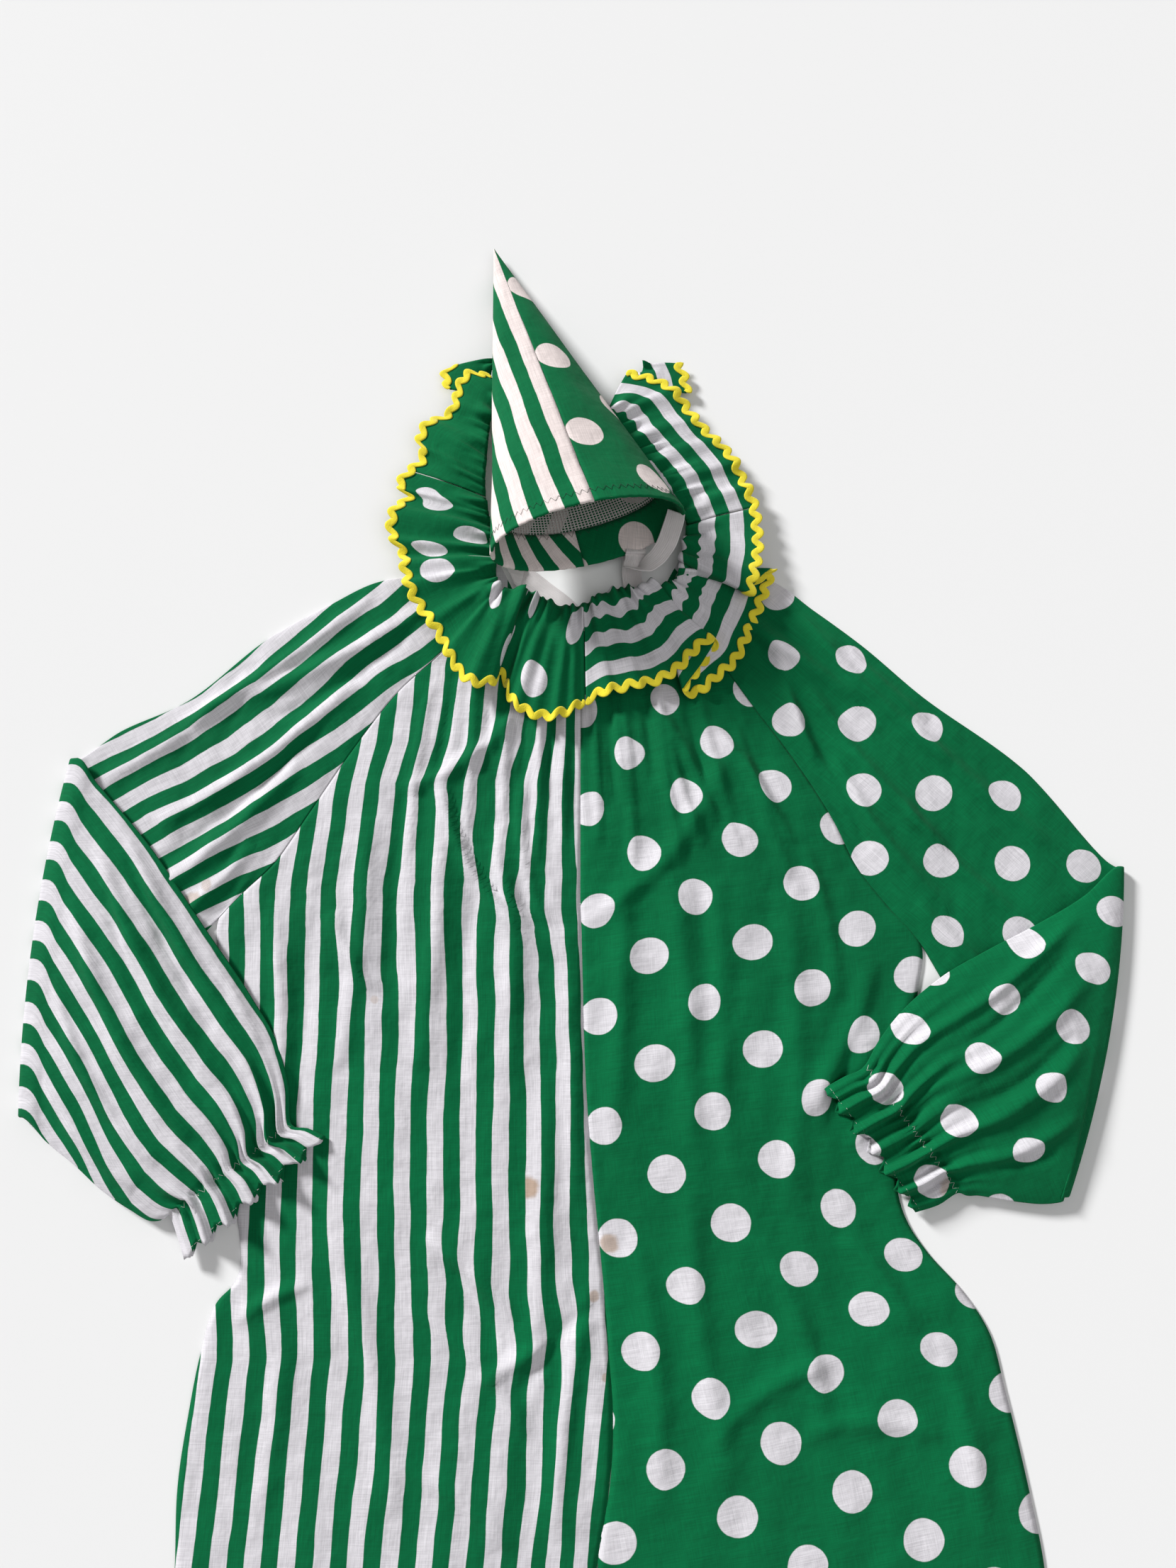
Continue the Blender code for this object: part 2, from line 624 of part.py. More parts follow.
elastic("hat_elastic", ELASTIC_ROUTE, ribbed)
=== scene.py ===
"""Clown costume laid flat: the cloth, trims and stitching of a one-piece suit and its cone hat.

Metres, +Z up; the tables inside metres() are written in millimetres. Tables give places from their own
origin near the neck, and placed() moves them so that the middle of the whole object is the origin, as in
the CAD model. "Striped" and "dotted" are the two halves: the wearer's right and the wearer's left.
"""
import math

import bpy
import numpy as np
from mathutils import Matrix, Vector
from mathutils.bvhtree import BVHTree


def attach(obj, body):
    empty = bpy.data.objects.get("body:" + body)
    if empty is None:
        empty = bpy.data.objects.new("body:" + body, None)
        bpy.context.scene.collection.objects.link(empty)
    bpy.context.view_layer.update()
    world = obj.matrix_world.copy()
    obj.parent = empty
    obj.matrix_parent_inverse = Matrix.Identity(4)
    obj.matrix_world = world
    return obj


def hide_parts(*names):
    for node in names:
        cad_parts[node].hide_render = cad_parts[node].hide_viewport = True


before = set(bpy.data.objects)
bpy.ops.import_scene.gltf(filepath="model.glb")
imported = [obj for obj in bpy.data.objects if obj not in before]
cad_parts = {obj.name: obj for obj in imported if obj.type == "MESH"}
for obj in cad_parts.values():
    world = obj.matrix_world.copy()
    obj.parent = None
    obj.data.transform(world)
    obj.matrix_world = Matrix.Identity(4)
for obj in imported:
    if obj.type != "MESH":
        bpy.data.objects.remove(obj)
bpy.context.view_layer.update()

CENTRE_X = -0.0062           # middle of the whole object, in the tables' own measure
CENTRE_Y = -0.4217
WALL = 0.0012                # the CAD model's cloth
CLOTH = 0.0006               # the real cloth
LAY_GAP = 0.0004
FRONT_BASE = WALL + LAY_GAP
SLEEVE_TURN_RADIUS = 0.0015
SLEEVE_FLAT = FRONT_BASE + WALL
CREASE_HEIGHT = 0.0040
COLLAR_LIFT = 0.003
COLLAR_BULGE = 0.003         # how much the ruffle's middle stands over a straight line
ELASTIC_WIDTH = 0.019
RAGLAN_POINTS = 8
STRIPE_PERIOD = 0.0286       # a white and a green band
DOT_SIDE_LENGTH = 0.0686     # side of the dots' square lattice
DOT_RADIUS = 0.0165
CREASE_SCALE = 2.3           # height and width of the laid cloth's creases against their tables
CREASE_NARROWING = 0.68
CREASE_TAKE = 1.4            # cloth that a crease takes up against its height, and how far off it shows
CREASE_REACH = 0.025
TINY = 1e-9                  # keeps a division by a length of nothing from failing
HAT_APEX = Vector((-0.0974, 0.5640, 0.0080))
HAT_RIM_CENTRE = Vector((0.0010, 0.2216, 0.0655))
HAT_SIDE = Vector((-0.9583, -0.2527, 0.1336))
HAT_UP = Vector((0.0902, 0.1762, 0.9802))
HAT_HALF_WIDTH = 0.0943
HAT_HALF_HEIGHT = 0.0540
HAT_FACING = 0.90            # the turned-in hem reaches from the rim back to this share of the length


def metres(*rows):
    """A table that is written in millimetres."""
    return tuple(tuple(value / 1000.0 for value in row) for row in rows)


# The suit's edges from the neck down, with a point for each section of the body. The side's first
# eight points are the raglan seam, and both halves share the centre line as far as the crotch.
CENTRE_LINE = metres(
    # x, y
    (-8, 171), (-7, 125), (-7, 82), (-7, 27), (-7, -34), (-7, -78), (-7, -110), (-6, -136), (-5, -175),
    (-2, -270), (5, -360), (12, -428), (15, -460), (18, -500), (21, -540), (18, -600), (8, -655),
)
STRIPE_SIDE = metres(
    # x, y
    (-93, 188), (-141, 129), (-179, 92), (-224, 30), (-261, -29), (-292, -77), (-318, -103),
    (-337, -124), (-338, -155), (-320, -260), (-312, -355), (-303, -438), (-319, -456), (-330, -497),
    (-337, -545), (-342, -600), (-340, -655),
)
DOT_SIDE = metres(
    # x, y
    (84, 190), (120, 131), (155, 78), (192, 26), (230, -38), (248, -78), (275, -115), (303, -147),
    (298, -195), (284, -280), (272, -372), (294, -415), (322, -446), (343, -480), (353, -525),
    (367, -600), (375, -655),
)
STRIPE_LEG = metres(
    # side_x, side_y, centre_x, centre_y
    (-337, -760, -16, -760), (-330, -960, -36, -960), (-322, -1180, -48, -1180),
    (-315, -1398, -56, -1398),
)
DOT_LEG = metres(
    # side_x, side_y, centre_x, centre_y
    (372, -760, 34, -760), (362, -960, 54, -960), (352, -1180, 66, -1180), (343, -1398, 74, -1398),
)
# The backs reach past the shoulders to the collar's spread ends, and a slit opens down their centre.
STRIPE_BACK_TOP = metres(
    # side_x, side_y, centre_x, centre_y
    (-122, 392, -101, 400), (-135, 340, -103, 340), (-135, 290, -101, 290), (-125, 242, -94, 240),
    (-96, 213, -80, 207),
)
DOT_BACK_TOP = metres(
    # side_x, side_y, centre_x, centre_y
    (68, 392, 43, 400), (100, 340, 64, 340), (122, 290, 92, 290), (122, 242, 96, 240),
    (89, 214, 80, 207),
)
SLIT_EDGES = (0.062, 0.048, 0.030, 0.010)    # half of the slit's width at the first rows of the backs
SLIT_MIDDLE_X = 0.000

# Sleeves: the folded top edge and the underarm edge, from the shoulder to the fold-back, then from
# the fold-back to the cuff. The section between the two edges bows outward by "bow".
STRIPE_SHOULDER = (-0.103, 0.208)
DOT_SHOULDER = (0.096, 0.208)
STRIPE_UPPER = (
    # top_x, top_y, under, height: under is the share of the way along the underarm edge
    (-0.15, 0.206, 0.1, 0.005), (-0.203, 0.2, 0.22, 0.006), (-0.252, 0.175, 0.36, 0.006),
    (-0.306, 0.143, 0.5, 0.0055), (-0.383, 0.078, 0.7, 0.005), (-0.443, 0.049, 0.87, 0.0044),
)
DOT_UPPER = (
    # top_x, top_y, under, height
    (0.135, 0.208, 0.1, 0.005), (0.177, 0.201, 0.2, 0.006), (0.219, 0.17, 0.32, 0.006),
    (0.263, 0.135, 0.45, 0.0058), (0.317, 0.085, 0.62, 0.0052), (0.41, 0.012, 0.84, 0.0044),
)
STRIPE_CREASE = ((-0.487, 0.021), (-0.503, -0.300), 0.010)
DOT_CREASE = ((0.494, -0.081), (0.420, -0.367), 0.012)
STRIPE_LOWER = metres(
    # top_x, top_y, under_x, under_y, bow, height
    (-458, -3, -476, -320, 10, 9), (-408, -58, -449, -340, 12, 13), (-349, -137, -422, -362, 10, 15),
    (-303, -199, -396, -378, 6, 15), (-278, -239, -378, -387, 3, 13), (-266, -277, -367, -386, 1, 10),
    (-262, -308, -361, -383, 0, 8), (-247, -312, -354, -398, 0, 9), (-231, -319, -346, -419, 2, 10),
)
DOT_LOWER = metres(
    # top_x, top_y, under_x, under_y, bow, height
    (455, -107, 412, -371, 12, 9), (410, -133, 395, -373, 14, 13), (362, -157, 372, -371, 12, 15),
    (319, -181, 352, -368, 8, 15), (281, -212, 338, -366, 4, 13), (258, -240, 328, -366, 1, 10),
    (247, -258, 321, -364, 0, 8), (228, -268, 303, -374, 0, 9), (209, -278, 283, -380, 3, 10),
)

# Collar: one row for each fold or wave, from the centre front outward. The gathered edge and the hem
# are joined row by row, and the hem doubles back under itself where its x or y turns round.
DOT_COLLAR_FRONT = metres(
    # neck_x, neck_y, neck_z, hem_x, hem_y, hem_z
    (-4.5, 171, 11, -3, 78, 10), (-14, 170, 11, -19, 67, 11), (-22, 170, 11, -40, 62, 12),
    (-32, 173, 11, -60, 68, 11), (-42, 178, 11, -73, 81, 9), (-49, 182, 11, -80, 103, 5),
    (-56, 185, 12, -97, 111, 9), (-61, 187, 13, -86, 98, 12), (-65, 188, 16, -87, 96, 17),
    (-71, 187, 16, -106, 92, 20), (-77, 186, 14, -118, 101, 18), (-82, 188, 11, -130, 120, 14),
    (-86, 193, 11, -143, 146, 13), (-88, 199, 11, -158, 167, 12), (-89, 206, 11, -169, 185, 12),
    (-89, 213, 11, -176, 209, 13), (-89, 220, 11, -178, 224, 7), (-90, 229, 11, -189, 242, 10),
    (-92, 240, 11, -191, 260, 13), (-94, 250, 11, -184, 276, 9), (-96, 261, 11, -175, 286, 6),
    (-98, 272, 11, -185, 297, 8), (-100, 283, 11, -175, 312, 10),
)
DOT_COLLAR_BACK = metres(
    # neck_x, neck_y, neck_z, hem_x, hem_y, hem_z
    (-100, 284, 11, -175, 313, 10), (-101, 296, 11, -162, 327, 6), (-101, 310, 11, -166, 345, 11),
    (-100, 325, 11, -160, 360, 10), (-99, 340, 11, -148, 370, 6), (-98, 355, 11, -137, 374, 8),
    (-97, 366, 11, -131, 386, 12), (-94, 376, 11, -128, 403, 12), (-88, 384, 11, -120, 416, 12),
    (-80, 390, 11, -97, 413, 12),
)
# The back ends of the ruffle, turned under it
DOT_END = metres(
    # neck_x, neck_y, neck_z, hem_x, hem_y, hem_z
    (-98, 396, 4, -139, 404, 4), (-98, 416, 3, -144, 420, 3), (-97, 436, 3, -136, 431, 3),
)
STRIPE_END = metres(
    # neck_x, neck_y, neck_z, hem_x, hem_y, hem_z
    (46, 402, 4, 99, 400, 4), (50, 416, 3, 96, 419, 3), (58, 430, 3, 90, 434, 3),
)
STRIPE_COLLAR_FRONT = metres(
    # neck_x, neck_y, neck_z, hem_x, hem_y, hem_z
    (-3.5, 171, 11, -2, 78, 10), (3, 176, 11, 14, 86, 11), (11, 182, 11, 32, 90, 12),
    (20, 186, 11, 52, 94, 12), (30, 188, 11, 71, 99, 13), (40, 189, 11, 88, 112, 14),
    (47, 190, 13, 104, 129, 18), (52, 190, 14, 118, 137, 20), (55, 190, 12, 120, 136, 16),
    (58, 189, 11, 111, 119, 12), (61, 188, 12, 91, 91, 10), (63, 188, 9, 89, 88, 6),
    (65, 188, 8, 102, 87, 5), (69, 189, 9, 120, 101, 6), (73, 191, 11, 139, 118, 7),
    (78, 194, 11, 150, 140, 7), (82, 197, 11, 160, 163, 7), (85, 201, 11, 169, 186, 6),
    (87, 204, 11, 177, 207, 5), (88, 207, 11, 178, 210, 9), (88, 210, 12, 163, 197, 12),
    (89, 214, 13, 152, 181, 15), (89, 217, 16, 153, 179, 20), (90, 223, 16, 158, 200, 21),
    (91, 231, 14, 163, 222, 18), (94, 242, 11, 164, 247, 14), (98, 253, 11, 162, 272, 12),
)
STRIPE_COLLAR_BACK = metres(
    # neck_x, neck_y, neck_z, hem_x, hem_y, hem_z
    (98, 254, 11, 162, 273, 12), (88, 270, 11, 155, 293, 10), (75, 288, 11, 147, 314, 9),
    (62, 304, 11, 138, 330, 11), (52, 320, 11, 126, 344, 9), (43, 336, 11, 113, 358, 11),
    (35, 352, 11, 100, 376, 9), (29, 364, 11, 90, 392, 11), (26, 370, 11, 76, 404, 12),
    (24, 376, 11, 57, 412, 12), (22, 382, 11, 38, 416, 12),
)

# Chin elastic: its route, and which way its width points. It leaves the hat's rim on the right,
# loops once, runs under the front neckline and comes up to the rim on the left.
ELASTIC_ROUTE = (
    # x, y, z, width_x, width_y, width_z
    (0.083, 0.25, 0.054, 0.8, -0.48, 0.36), (0.0805, 0.2412, 0.045, 0.9, -0.38, 0.2),
    (0.0765, 0.231, 0.036, 0.93, -0.35, 0.12), (0.07, 0.221, 0.029, 0.84, -0.52, 0.16),
    (0.06, 0.212, 0.024, 0.55, -0.78, 0.3), (0.05, 0.2075, 0.0215, 0.15, -0.6, 0.79),
    (0.044, 0.2085, 0.02, -0.45, -0.35, 0.82), (0.0435, 0.215, 0.017, -0.97, -0.05, 0.24),
    (0.0455, 0.223, 0.0155, -1.0, 0.0, 0.05), (0.046, 0.232, 0.014, -1.0, 0.0, 0.0),
    (0.0458, 0.235, 0.0115, -1.0, 0.0, 0.0), (0.044, 0.232, 0.009, -1.0, 0.0, 0.0),
    (0.043, 0.22, 0.007, -1.0, 0.0, 0.0), (0.0425, 0.208, 0.005, -1.0, 0.0, 0.0),
    (0.044, 0.195, 0.003, -1.0, 0.0, 0.0), (0.043, 0.178, 0.001, -1.0, 0.05, 0.0),
    (0.037, 0.163, 0.0009, -0.9, 0.4, 0.0), (0.023, 0.151, 0.0009, -0.5, 0.85, 0.0),
    (0.004, 0.148, 0.0009, 0.0, 1.0, 0.0), (-0.012, 0.16, 0.0009, 0.6, 0.8, 0.0),
    (-0.0222, 0.176, 0.001, 0.66, 0.75, 0.0), (-0.04, 0.19, 0.002, 0.62, 0.78, 0.0),
    (-0.053, 0.2, 0.004, 0.55, 0.83, 0.0), (-0.064, 0.2025, 0.007, 0.15, 0.97, 0.15),
    (-0.0735, 0.2045, 0.011, -0.25, 0.85, 0.45), (-0.079, 0.21, 0.016, -0.6, 0.55, 0.58),
)

# Cloth coordinates. A striped cloth's u is the distance across its bands, and a white band starts at
# each whole period. A dotted cloth's pair is counted along its square lattice, with a dot at each whole.
STRIPE_CUT = metres(
    # y, and x where the white bands number 0, 2, 5, 8 and 11 from the centre seam start
    (190, -10, -44, -112, -190, -272), (100, -10, -46, -124, -207, -290),
    (40, -10, -50, -131, -214, -297), (0, -10, -61, -142, -222, -305),
    (-100, -11, -63, -146, -232, -316), (-200, -5, -56, -141, -227, -312),
    (-300, -2, -56, -142, -228, -312), (-400, 0, -55, -140, -225, -309),
    (-500, 4, -49, -134, -218, -302), (-600, -6, -53, -138, -223, -308),
    (-655, -12, -58, -142, -226, -311), (-800, -13, -68, -152, -236, -320),
    (-1400, -34, -92, -176, -260, -344),
)
STRIPE_CUT_BANDS = (0, 2, 5, 8, 11)
DOT_CUT_COLUMNS = (0, 1, 2, 3, 4, 5)
DOT_CUT = metres(
    # y, and x of the dots' columns number 0 to 5 from the centre seam
    (190, -6, 26, 60, 94, 130, 168), (40, -6, 36, 78, 121, 166, 210), (0, -2, 42, 87, 131, 176, 222),
    (-100, 7, 54, 98, 147, 197, 246), (-200, 8, 56, 105, 153, 203, 248),
    (-300, 13, 62, 110, 160, 203, 243), (-400, 25, 76, 126, 176, 222, 268),
    (-500, 46, 97, 148, 198, 251, 301), (-600, 68, 120, 169, 219, 269, 320),
    (-655, 78, 131, 180, 230, 280, 330), (-800, 86, 136, 185, 234, 283, 332),
    (-1400, 92, 141, 190, 239, 288, 337),
)
DOT_ROW_START = -0.2155      # y where row 0 meets x = 0
DOT_ROW_STEP = 0.0955
DOT_ROW_SLOPE = (
    # y, slope of the dots' rows
    (-0.7, 0.2), (-0.5, 0.2), (-0.4, 0.13), (0.2, 0.13),
)
# Upper striped sleeve: across the bands, from the line through SLEEVE_START along SLEEVE_ALONG
SLEEVE_START = (-0.203, 0.200)
SLEEVE_ALONG = (-0.845, -0.534)
SLEEVE_CUT = metres(
    # distance along, start of band 0 across the line, spacing of the bands
    (-120, -16, 31), (0, 2, 31), (50, 8, 30.3), (100, 17, 29.7), (150, 26, 28.6), (200, 32, 28),
    (250, 32, 27.2), (300, 28, 27.5), (420, 26, 27.5),
)
# Lower striped sleeve: how many periods lie between the top edge and the underarm edge
CREASE_PERIODS = 8.8
LOWER_PERIODS = (8.7, 8.2, 7.4, 6.8, 6.7, 6.6, 6.5, 6.5, 6.5)
LOWER_PERIOD_START = -0.1
# Dotted sleeve: a dot's place, and the steps to the next dots of the lattice, for each of its parts
UPPER_DOT = ((0.255, 0.057), (0.0665, -0.002), (0.002, -0.0645))
LOWER_DOT = ((0.370, -0.199), (0.060, -0.026), (-0.024, -0.052))


def placed(points):
    """Table places in the object's own frame, for an array whose last axis is x, y, z."""
    moved = np.array(points, dtype=float)
    moved[..., 0] -= CENTRE_X
    moved[..., 1] -= CENTRE_Y
    return moved


def smooth(points, steps, closed=False):
    """A smooth curve through points along the first axis, with the given number of steps in each span.

    Its slopes follow the distances between the points, so close pairs don't make it overshoot.
    """
    points = np.asarray(points, dtype=float)
    count = len(points)
    spans = count if closed else count - 1
    flat = points.reshape(count, -1, points.shape[-1])
    gaps = np.linalg.norm(np.roll(flat, -1, 0) - flat, axis=-1).mean(1)[:spans]
    gaps = np.maximum(gaps, 1e-6)
    slopes = np.empty_like(points)
    for i in range(count):
        before, after = (i - 1) % count, (i + 1) % count
        if not closed and i in (0, count - 1):
            near = 0 if i == 0 else count - 2
            slopes[i] = (points[near + 1] - points[near]) / gaps[near]
            continue
        left, right = gaps[(i - 1) % spans], gaps[i % spans]
        rise = (points[i] - points[before]) / left
        fall = (points[after] - points[i]) / right
        slopes[i] = (rise * right + fall * left) / (left + right)
    steps = np.broadcast_to(steps, (spans,))
    made = []
    for i in range(spans):
        here, there = points[i], points[(i + 1) % count]
        slope_here, slope_there = slopes[i] * gaps[i], slopes[(i + 1) % count] * gaps[i]
        for step in range(int(steps[i])):
            t = step / steps[i]
            made.append(
                here * (1 + 2 * t) * (1 - t) ** 2
                + slope_here * t * (1 - t) ** 2
                + there * t * t * (3 - 2 * t)
                + slope_there * t * t * (t - 1)
            )
    if not closed:
        made.append(points[-1])
    return np.array(made)


def steps_for(points, length):
    """How many steps each span needs for steps of about the given length."""
    flat = np.asarray(points, dtype=float)
    flat = flat.reshape(len(flat), -1, flat.shape[-1])
    gaps = np.linalg.norm(np.diff(flat, axis=0), axis=-1).max(1)
    return np.maximum(1, np.ceil(gaps / length)).astype(int)


def ease(share):
    """A smooth step from 0 to 1."""
    share = np.clip(share, 0.0, 1.0)
    return share * share * (3.0 - 2.0 * share)


def unit(vectors):
    """The vectors of an array's last axis, each one long."""
    return vectors / np.maximum(np.linalg.norm(vectors, axis=-1, keepdims=True), TINY)


def hump(away, half):
    """A soft hump of height 1 at 0, that is mostly gone at its half width."""
    return np.exp(-((away / half) ** 2))


def crease_places(x, y, creases):
    """For each crease: how far across it the places are, how strong it is there, and its own values.

    A crease runs from a start to an end, bows aside in its middle, and fades at its ends.
    """
    for x0, y0, x1, y1, bow, width, height in creases:
        dx, dy = x1 - x0, y1 - y0
        length = math.hypot(dx, dy)
        dx, dy = dx / length, dy / length
        inside = np.clip(((x - x0) * dx + (y - y0) * dy) / length, 0.0, 1.0)
        across = (x - x0) * -dy + (y - y0) * dx - bow * 4.0 * inside * (1.0 - inside)
        yield across, np.sqrt(4.0 * inside * (1.0 - inside)), (-dy, dx), CREASE_NARROWING * width, height


def relief(x, y, creases):
    """Height that soft ridges and troughs add at table places."""
    total = np.zeros_like(x)
    for across, strength, _, width, height in crease_places(x, y, creases):
        total += height * hump(across, width) * strength
    return total * CREASE_SCALE


def taken_up(x, y, creases):
    """Places on the cloth once each crease has taken some of it up, which squeezes the print there."""
    total_x, total_y = x.copy(), y.copy()
    for across, strength, (side_x, side_y), width, height in crease_places(x, y, creases):
        pull = np.tanh(across / width) * hump(across, CREASE_REACH)
        taken = CREASE_TAKE * abs(height) * pull * strength
        total_x += side_x * taken
        total_y += side_y * taken
    return total_x, total_y


def unevenness(x, y):
    """Soft, shallow waves that keep a laid cloth from looking flat between its creases."""
    warp = 0.012 * np.sin(x * 23.0 + 1.7) + 0.010 * np.sin(y * 19.0 + 0.4)
    waves = np.sin((x + warp) * 88.0 + 2.2 * np.sin(y * 13.0))
    waves = waves * np.sin((y - warp) * 31.0 + 1.9 * np.sin(x * 27.0))
    small = np.sin((x - y) * 171.0 + 3.0 * np.sin(y * 41.0))
    small = small * np.sin((x + y) * 123.0 + 2.4 * np.sin(x * 37.0))
    return 0.0011 * waves + 0.0003 * small


def ripples(share, folds):
    """Height of gathers across a width, from folds that each have a place, a half width and a height."""
    total = np.zeros_like(share)
    for place, half, height in folds:
        total += height * hump(share - place, half)
    return total


def grid_faces(rows, columns, closed=False):
    """Four-cornered faces over a grid of points, which joins up round itself if it is closed."""
    row, column = np.mgrid[0:rows - 1, 0:columns if closed else columns - 1]
    here = row * columns + column
    beside = row * columns + (column + 1) % columns
    return np.stack([here, beside, beside + columns, here + columns], -1).reshape(-1, 4)


def mesh_piece(name, points, faces, look, uvs=None):
    """A piece from points, faces, and one pair of cloth coordinates for each corner of each face."""
    mesh = bpy.data.meshes.new(name)
    mesh.from_pydata(np.asarray(points).reshape(-1, 3).tolist(), [], faces)
    if uvs is not None:
        layer = mesh.uv_layers.new(name="cut")
        layer.data.foreach_set("uv", np.asarray(uvs, dtype=np.float32).ravel())
    mesh.materials.append(look)
    mesh.shade_smooth()
    piece = bpy.data.objects.new(name, mesh)
    piece["area"] = sum(face.area for face in mesh.polygons)
    bpy.context.scene.collection.objects.link(piece)
    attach(piece, "root")
    return piece


def cloth_piece(name, points, cuts, look, closed=False, regions=None, wall=CLOTH):
    """A thin shell over a grid of points.

    cuts are one array of cloth coordinates, or several with an array that says which one a face uses.
    """
    rows, columns = points.shape[:2]
    points = points.copy()
    points[..., 2] = np.maximum(points[..., 2], wall / 2.0)
    faces = grid_faces(rows, columns, closed)
    if regions is None:
        uvs = cuts.reshape(-1, 2)[faces]
    else:
        stacked = np.stack([cut.reshape(-1, 2) for cut in cuts])
        uvs = stacked[regions.reshape(-1)[:, None], faces]
    piece = mesh_piece(name, points, faces.tolist(), look, uvs)
    shell = piece.modifiers.new("Cloth", "SOLIDIFY")
    shell.thickness = wall
    shell.offset = 0.0
    return piece


def normals(points):
    """Unit normals of a grid of points."""
    along = np.gradient(points, axis=0)
    across = np.gradient(points, axis=1)
    return unit(np.cross(across, along))


def surface_of(piece):
    """What a thread can be laid on: the piece's mesh, for rays."""
    return BVHTree.FromPolygons(
        [vertex.co for vertex in piece.data.vertices],
        [tuple(face.vertices) for face in piece.data.polygons],
    )


def on_top(surface, x, y, lift):
    """The highest point of a surface over a table place, raised a little; None beside the surface."""
    spot = surface.ray_cast(Vector((x - CENTRE_X, y - CENTRE_Y, 1.0)), Vector((0, 0, -1)))[0]
    if spot is None:
        return None
    return spot + Vector((0.0, 0.0, lift))


def threads(name, lines, radius, look):
    """Sewing threads: a round tube along each line of points, all in one piece."""
    corners = 5
    corner_steps = ((0, 0), (1, 0), (1, 1), (0, 1))
    points, faces = [], []
    for line in lines:
        line = np.array([tuple(point) for point in line])
        if len(line) < 2:
            continue
        start = len(points)
        for point, way in zip(line, unit(np.gradient(line, axis=0))):
            side = unit(np.cross(way, (0.0, 0.0, 1.0)))
            up = np.cross(side, way)
            for corner in range(corners):
                angle = 2.0 * math.pi * corner / corners
                points.append(point + radius * (side * math.cos(angle) + up * math.sin(angle)))
        last = start + (len(line) - 1) * corners
        for ring in range(start, last, corners):
            for corner in range(corners):
                faces.append(tuple(ring + (corner + turn) % corners + shift * corners
                                   for turn, shift in corner_steps))
        faces.append(tuple(start + corner for corner in range(corners))[::-1])
        faces.append(tuple(last + corner for corner in range(corners)))
    mesh_piece(name, points, faces, look)


# ---------------------------------------------------------------- materials
class Nodes:
    """Short calls for building a material's nodes."""

    def __init__(self, name, roughness, sheen):
        self.made = bpy.data.materials.new(name)
        self.made.use_nodes = True
        self.tree = self.made.node_tree
        self.shader = self.tree.nodes["Principled BSDF"]
        self.shader.inputs["Roughness"].default_value = roughness
        self.shader.inputs["Sheen Weight"].default_value = sheen
        self.shader.inputs["Sheen Roughness"].default_value = 0.5
        self.shader.inputs["Specular IOR Level"].default_value = 0.12

    def node(self, kind, **settings):
        """A new node with its settings."""
        made = self.tree.nodes.new(kind)
        for key, value in settings.items():
            setattr(made, key, value)
        return made

    def fill(self, socket, value):
        """Links a socket, or sets it if the value is a constant."""
        if isinstance(value, bpy.types.NodeSocket):
            self.tree.links.new(value, socket)
        else:
            socket.default_value = value

    def math(self, operation, *values):
        made = self.node("ShaderNodeMath", operation=operation)
        for socket, value in zip(made.inputs, values):
            self.fill(socket, value)
        return made.outputs[0]

    def ramp(self, value, low, high, out_low=0.0, out_high=1.0):
        made = self.node("ShaderNodeMapRange", interpolation_type="SMOOTHSTEP")
        for socket, number in zip(made.inputs, (value, low, high, out_low, out_high)):
            self.fill(socket, number)
        return made.outputs[0]

    def mix(self, share, first, second, blend="MIX"):
        made = self.node("ShaderNodeMix", data_type="RGBA", blend_type=blend)
        self.fill(made.inputs["Factor"], share)
        colours = [socket for socket in made.inputs if socket.type == "RGBA"]
        self.fill(colours[0], first)
        self.fill(colours[1], second)
        return next(socket for socket in made.outputs if socket.type == "RGBA")

    def mapped(self, vector, **settings):
        """The vector with a Scale or a Rotation."""
        made = self.node("ShaderNodeMapping")
        self.fill(made.inputs["Vector"], vector)
        for key, value in settings.items():
            made.inputs[key].default_value = value
        return made.outputs[0]

    def noise(self, vector, scale, detail=2.0):
        made = self.node("ShaderNodeTexNoise")
        self.fill(made.inputs["Vector"], vector)
        made.inputs["Scale"].default_value = scale
        made.inputs["Detail"].default_value = detail
        return made.outputs["Fac"]

    def bump(self, height, strength, distance, before=None):
        made = self.node("ShaderNodeBump")
        self.fill(made.inputs["Height"], height)
        made.inputs["Strength"].default_value = strength
        made.inputs["Distance"].default_value = distance
        if before is not None:
            self.fill(made.inputs["Normal"], before)
        return made.outputs["Normal"]


def rgb(red, green, blue):
    """A colour given as screen values from 0 to 255."""
    return tuple((value / 255.0) ** 2.2 for value in (red, green, blue)) + (1.0,)


def shaded(colour, share):
    """A colour made darker or lighter."""
    return (*[channel * share for channel in colour[:3]], 1.0)


GREEN = rgb(0, 101, 61)
WHITE = rgb(215, 212, 217)
HAT_WHITE = rgb(227, 214, 211)
STAIN = rgb(196, 160, 118)
# Tan spots of age: x, y, radius, strength
STAINS = (
    (-0.0525, -0.3610, 0.0120, 0.75), (0.0180, -0.4080, 0.0100, 0.60), (0.0050, -0.4500, 0.0060, 0.55),
    (0.0160, -0.5150, 0.0050, 0.50), (-0.3620, -0.1100, 0.0100, 0.45), (-0.3500, -0.0960, 0.0070, 0.35),
    (-0.1920, -0.2000, 0.0050, 0.30), (0.3140, -0.3610, 0.0110, 0.45),
)


def weave(build, cut, turn):
    """Threads of a plain weave with thick and thin places."""
    lined = build.mapped(cut, Rotation=(0.0, 0.0, turn))
    slubs = build.noise(build.mapped(lined, Scale=(1300.0, 34.0, 1.0)), 1.0, 3.0)
    picks = build.noise(build.mapped(lined, Scale=(40.0, 1500.0, 1.0)), 1.0, 3.0)
    return build.math("MULTIPLY_ADD", picks, 0.45, build.math("MULTIPLY", slubs, 0.55))


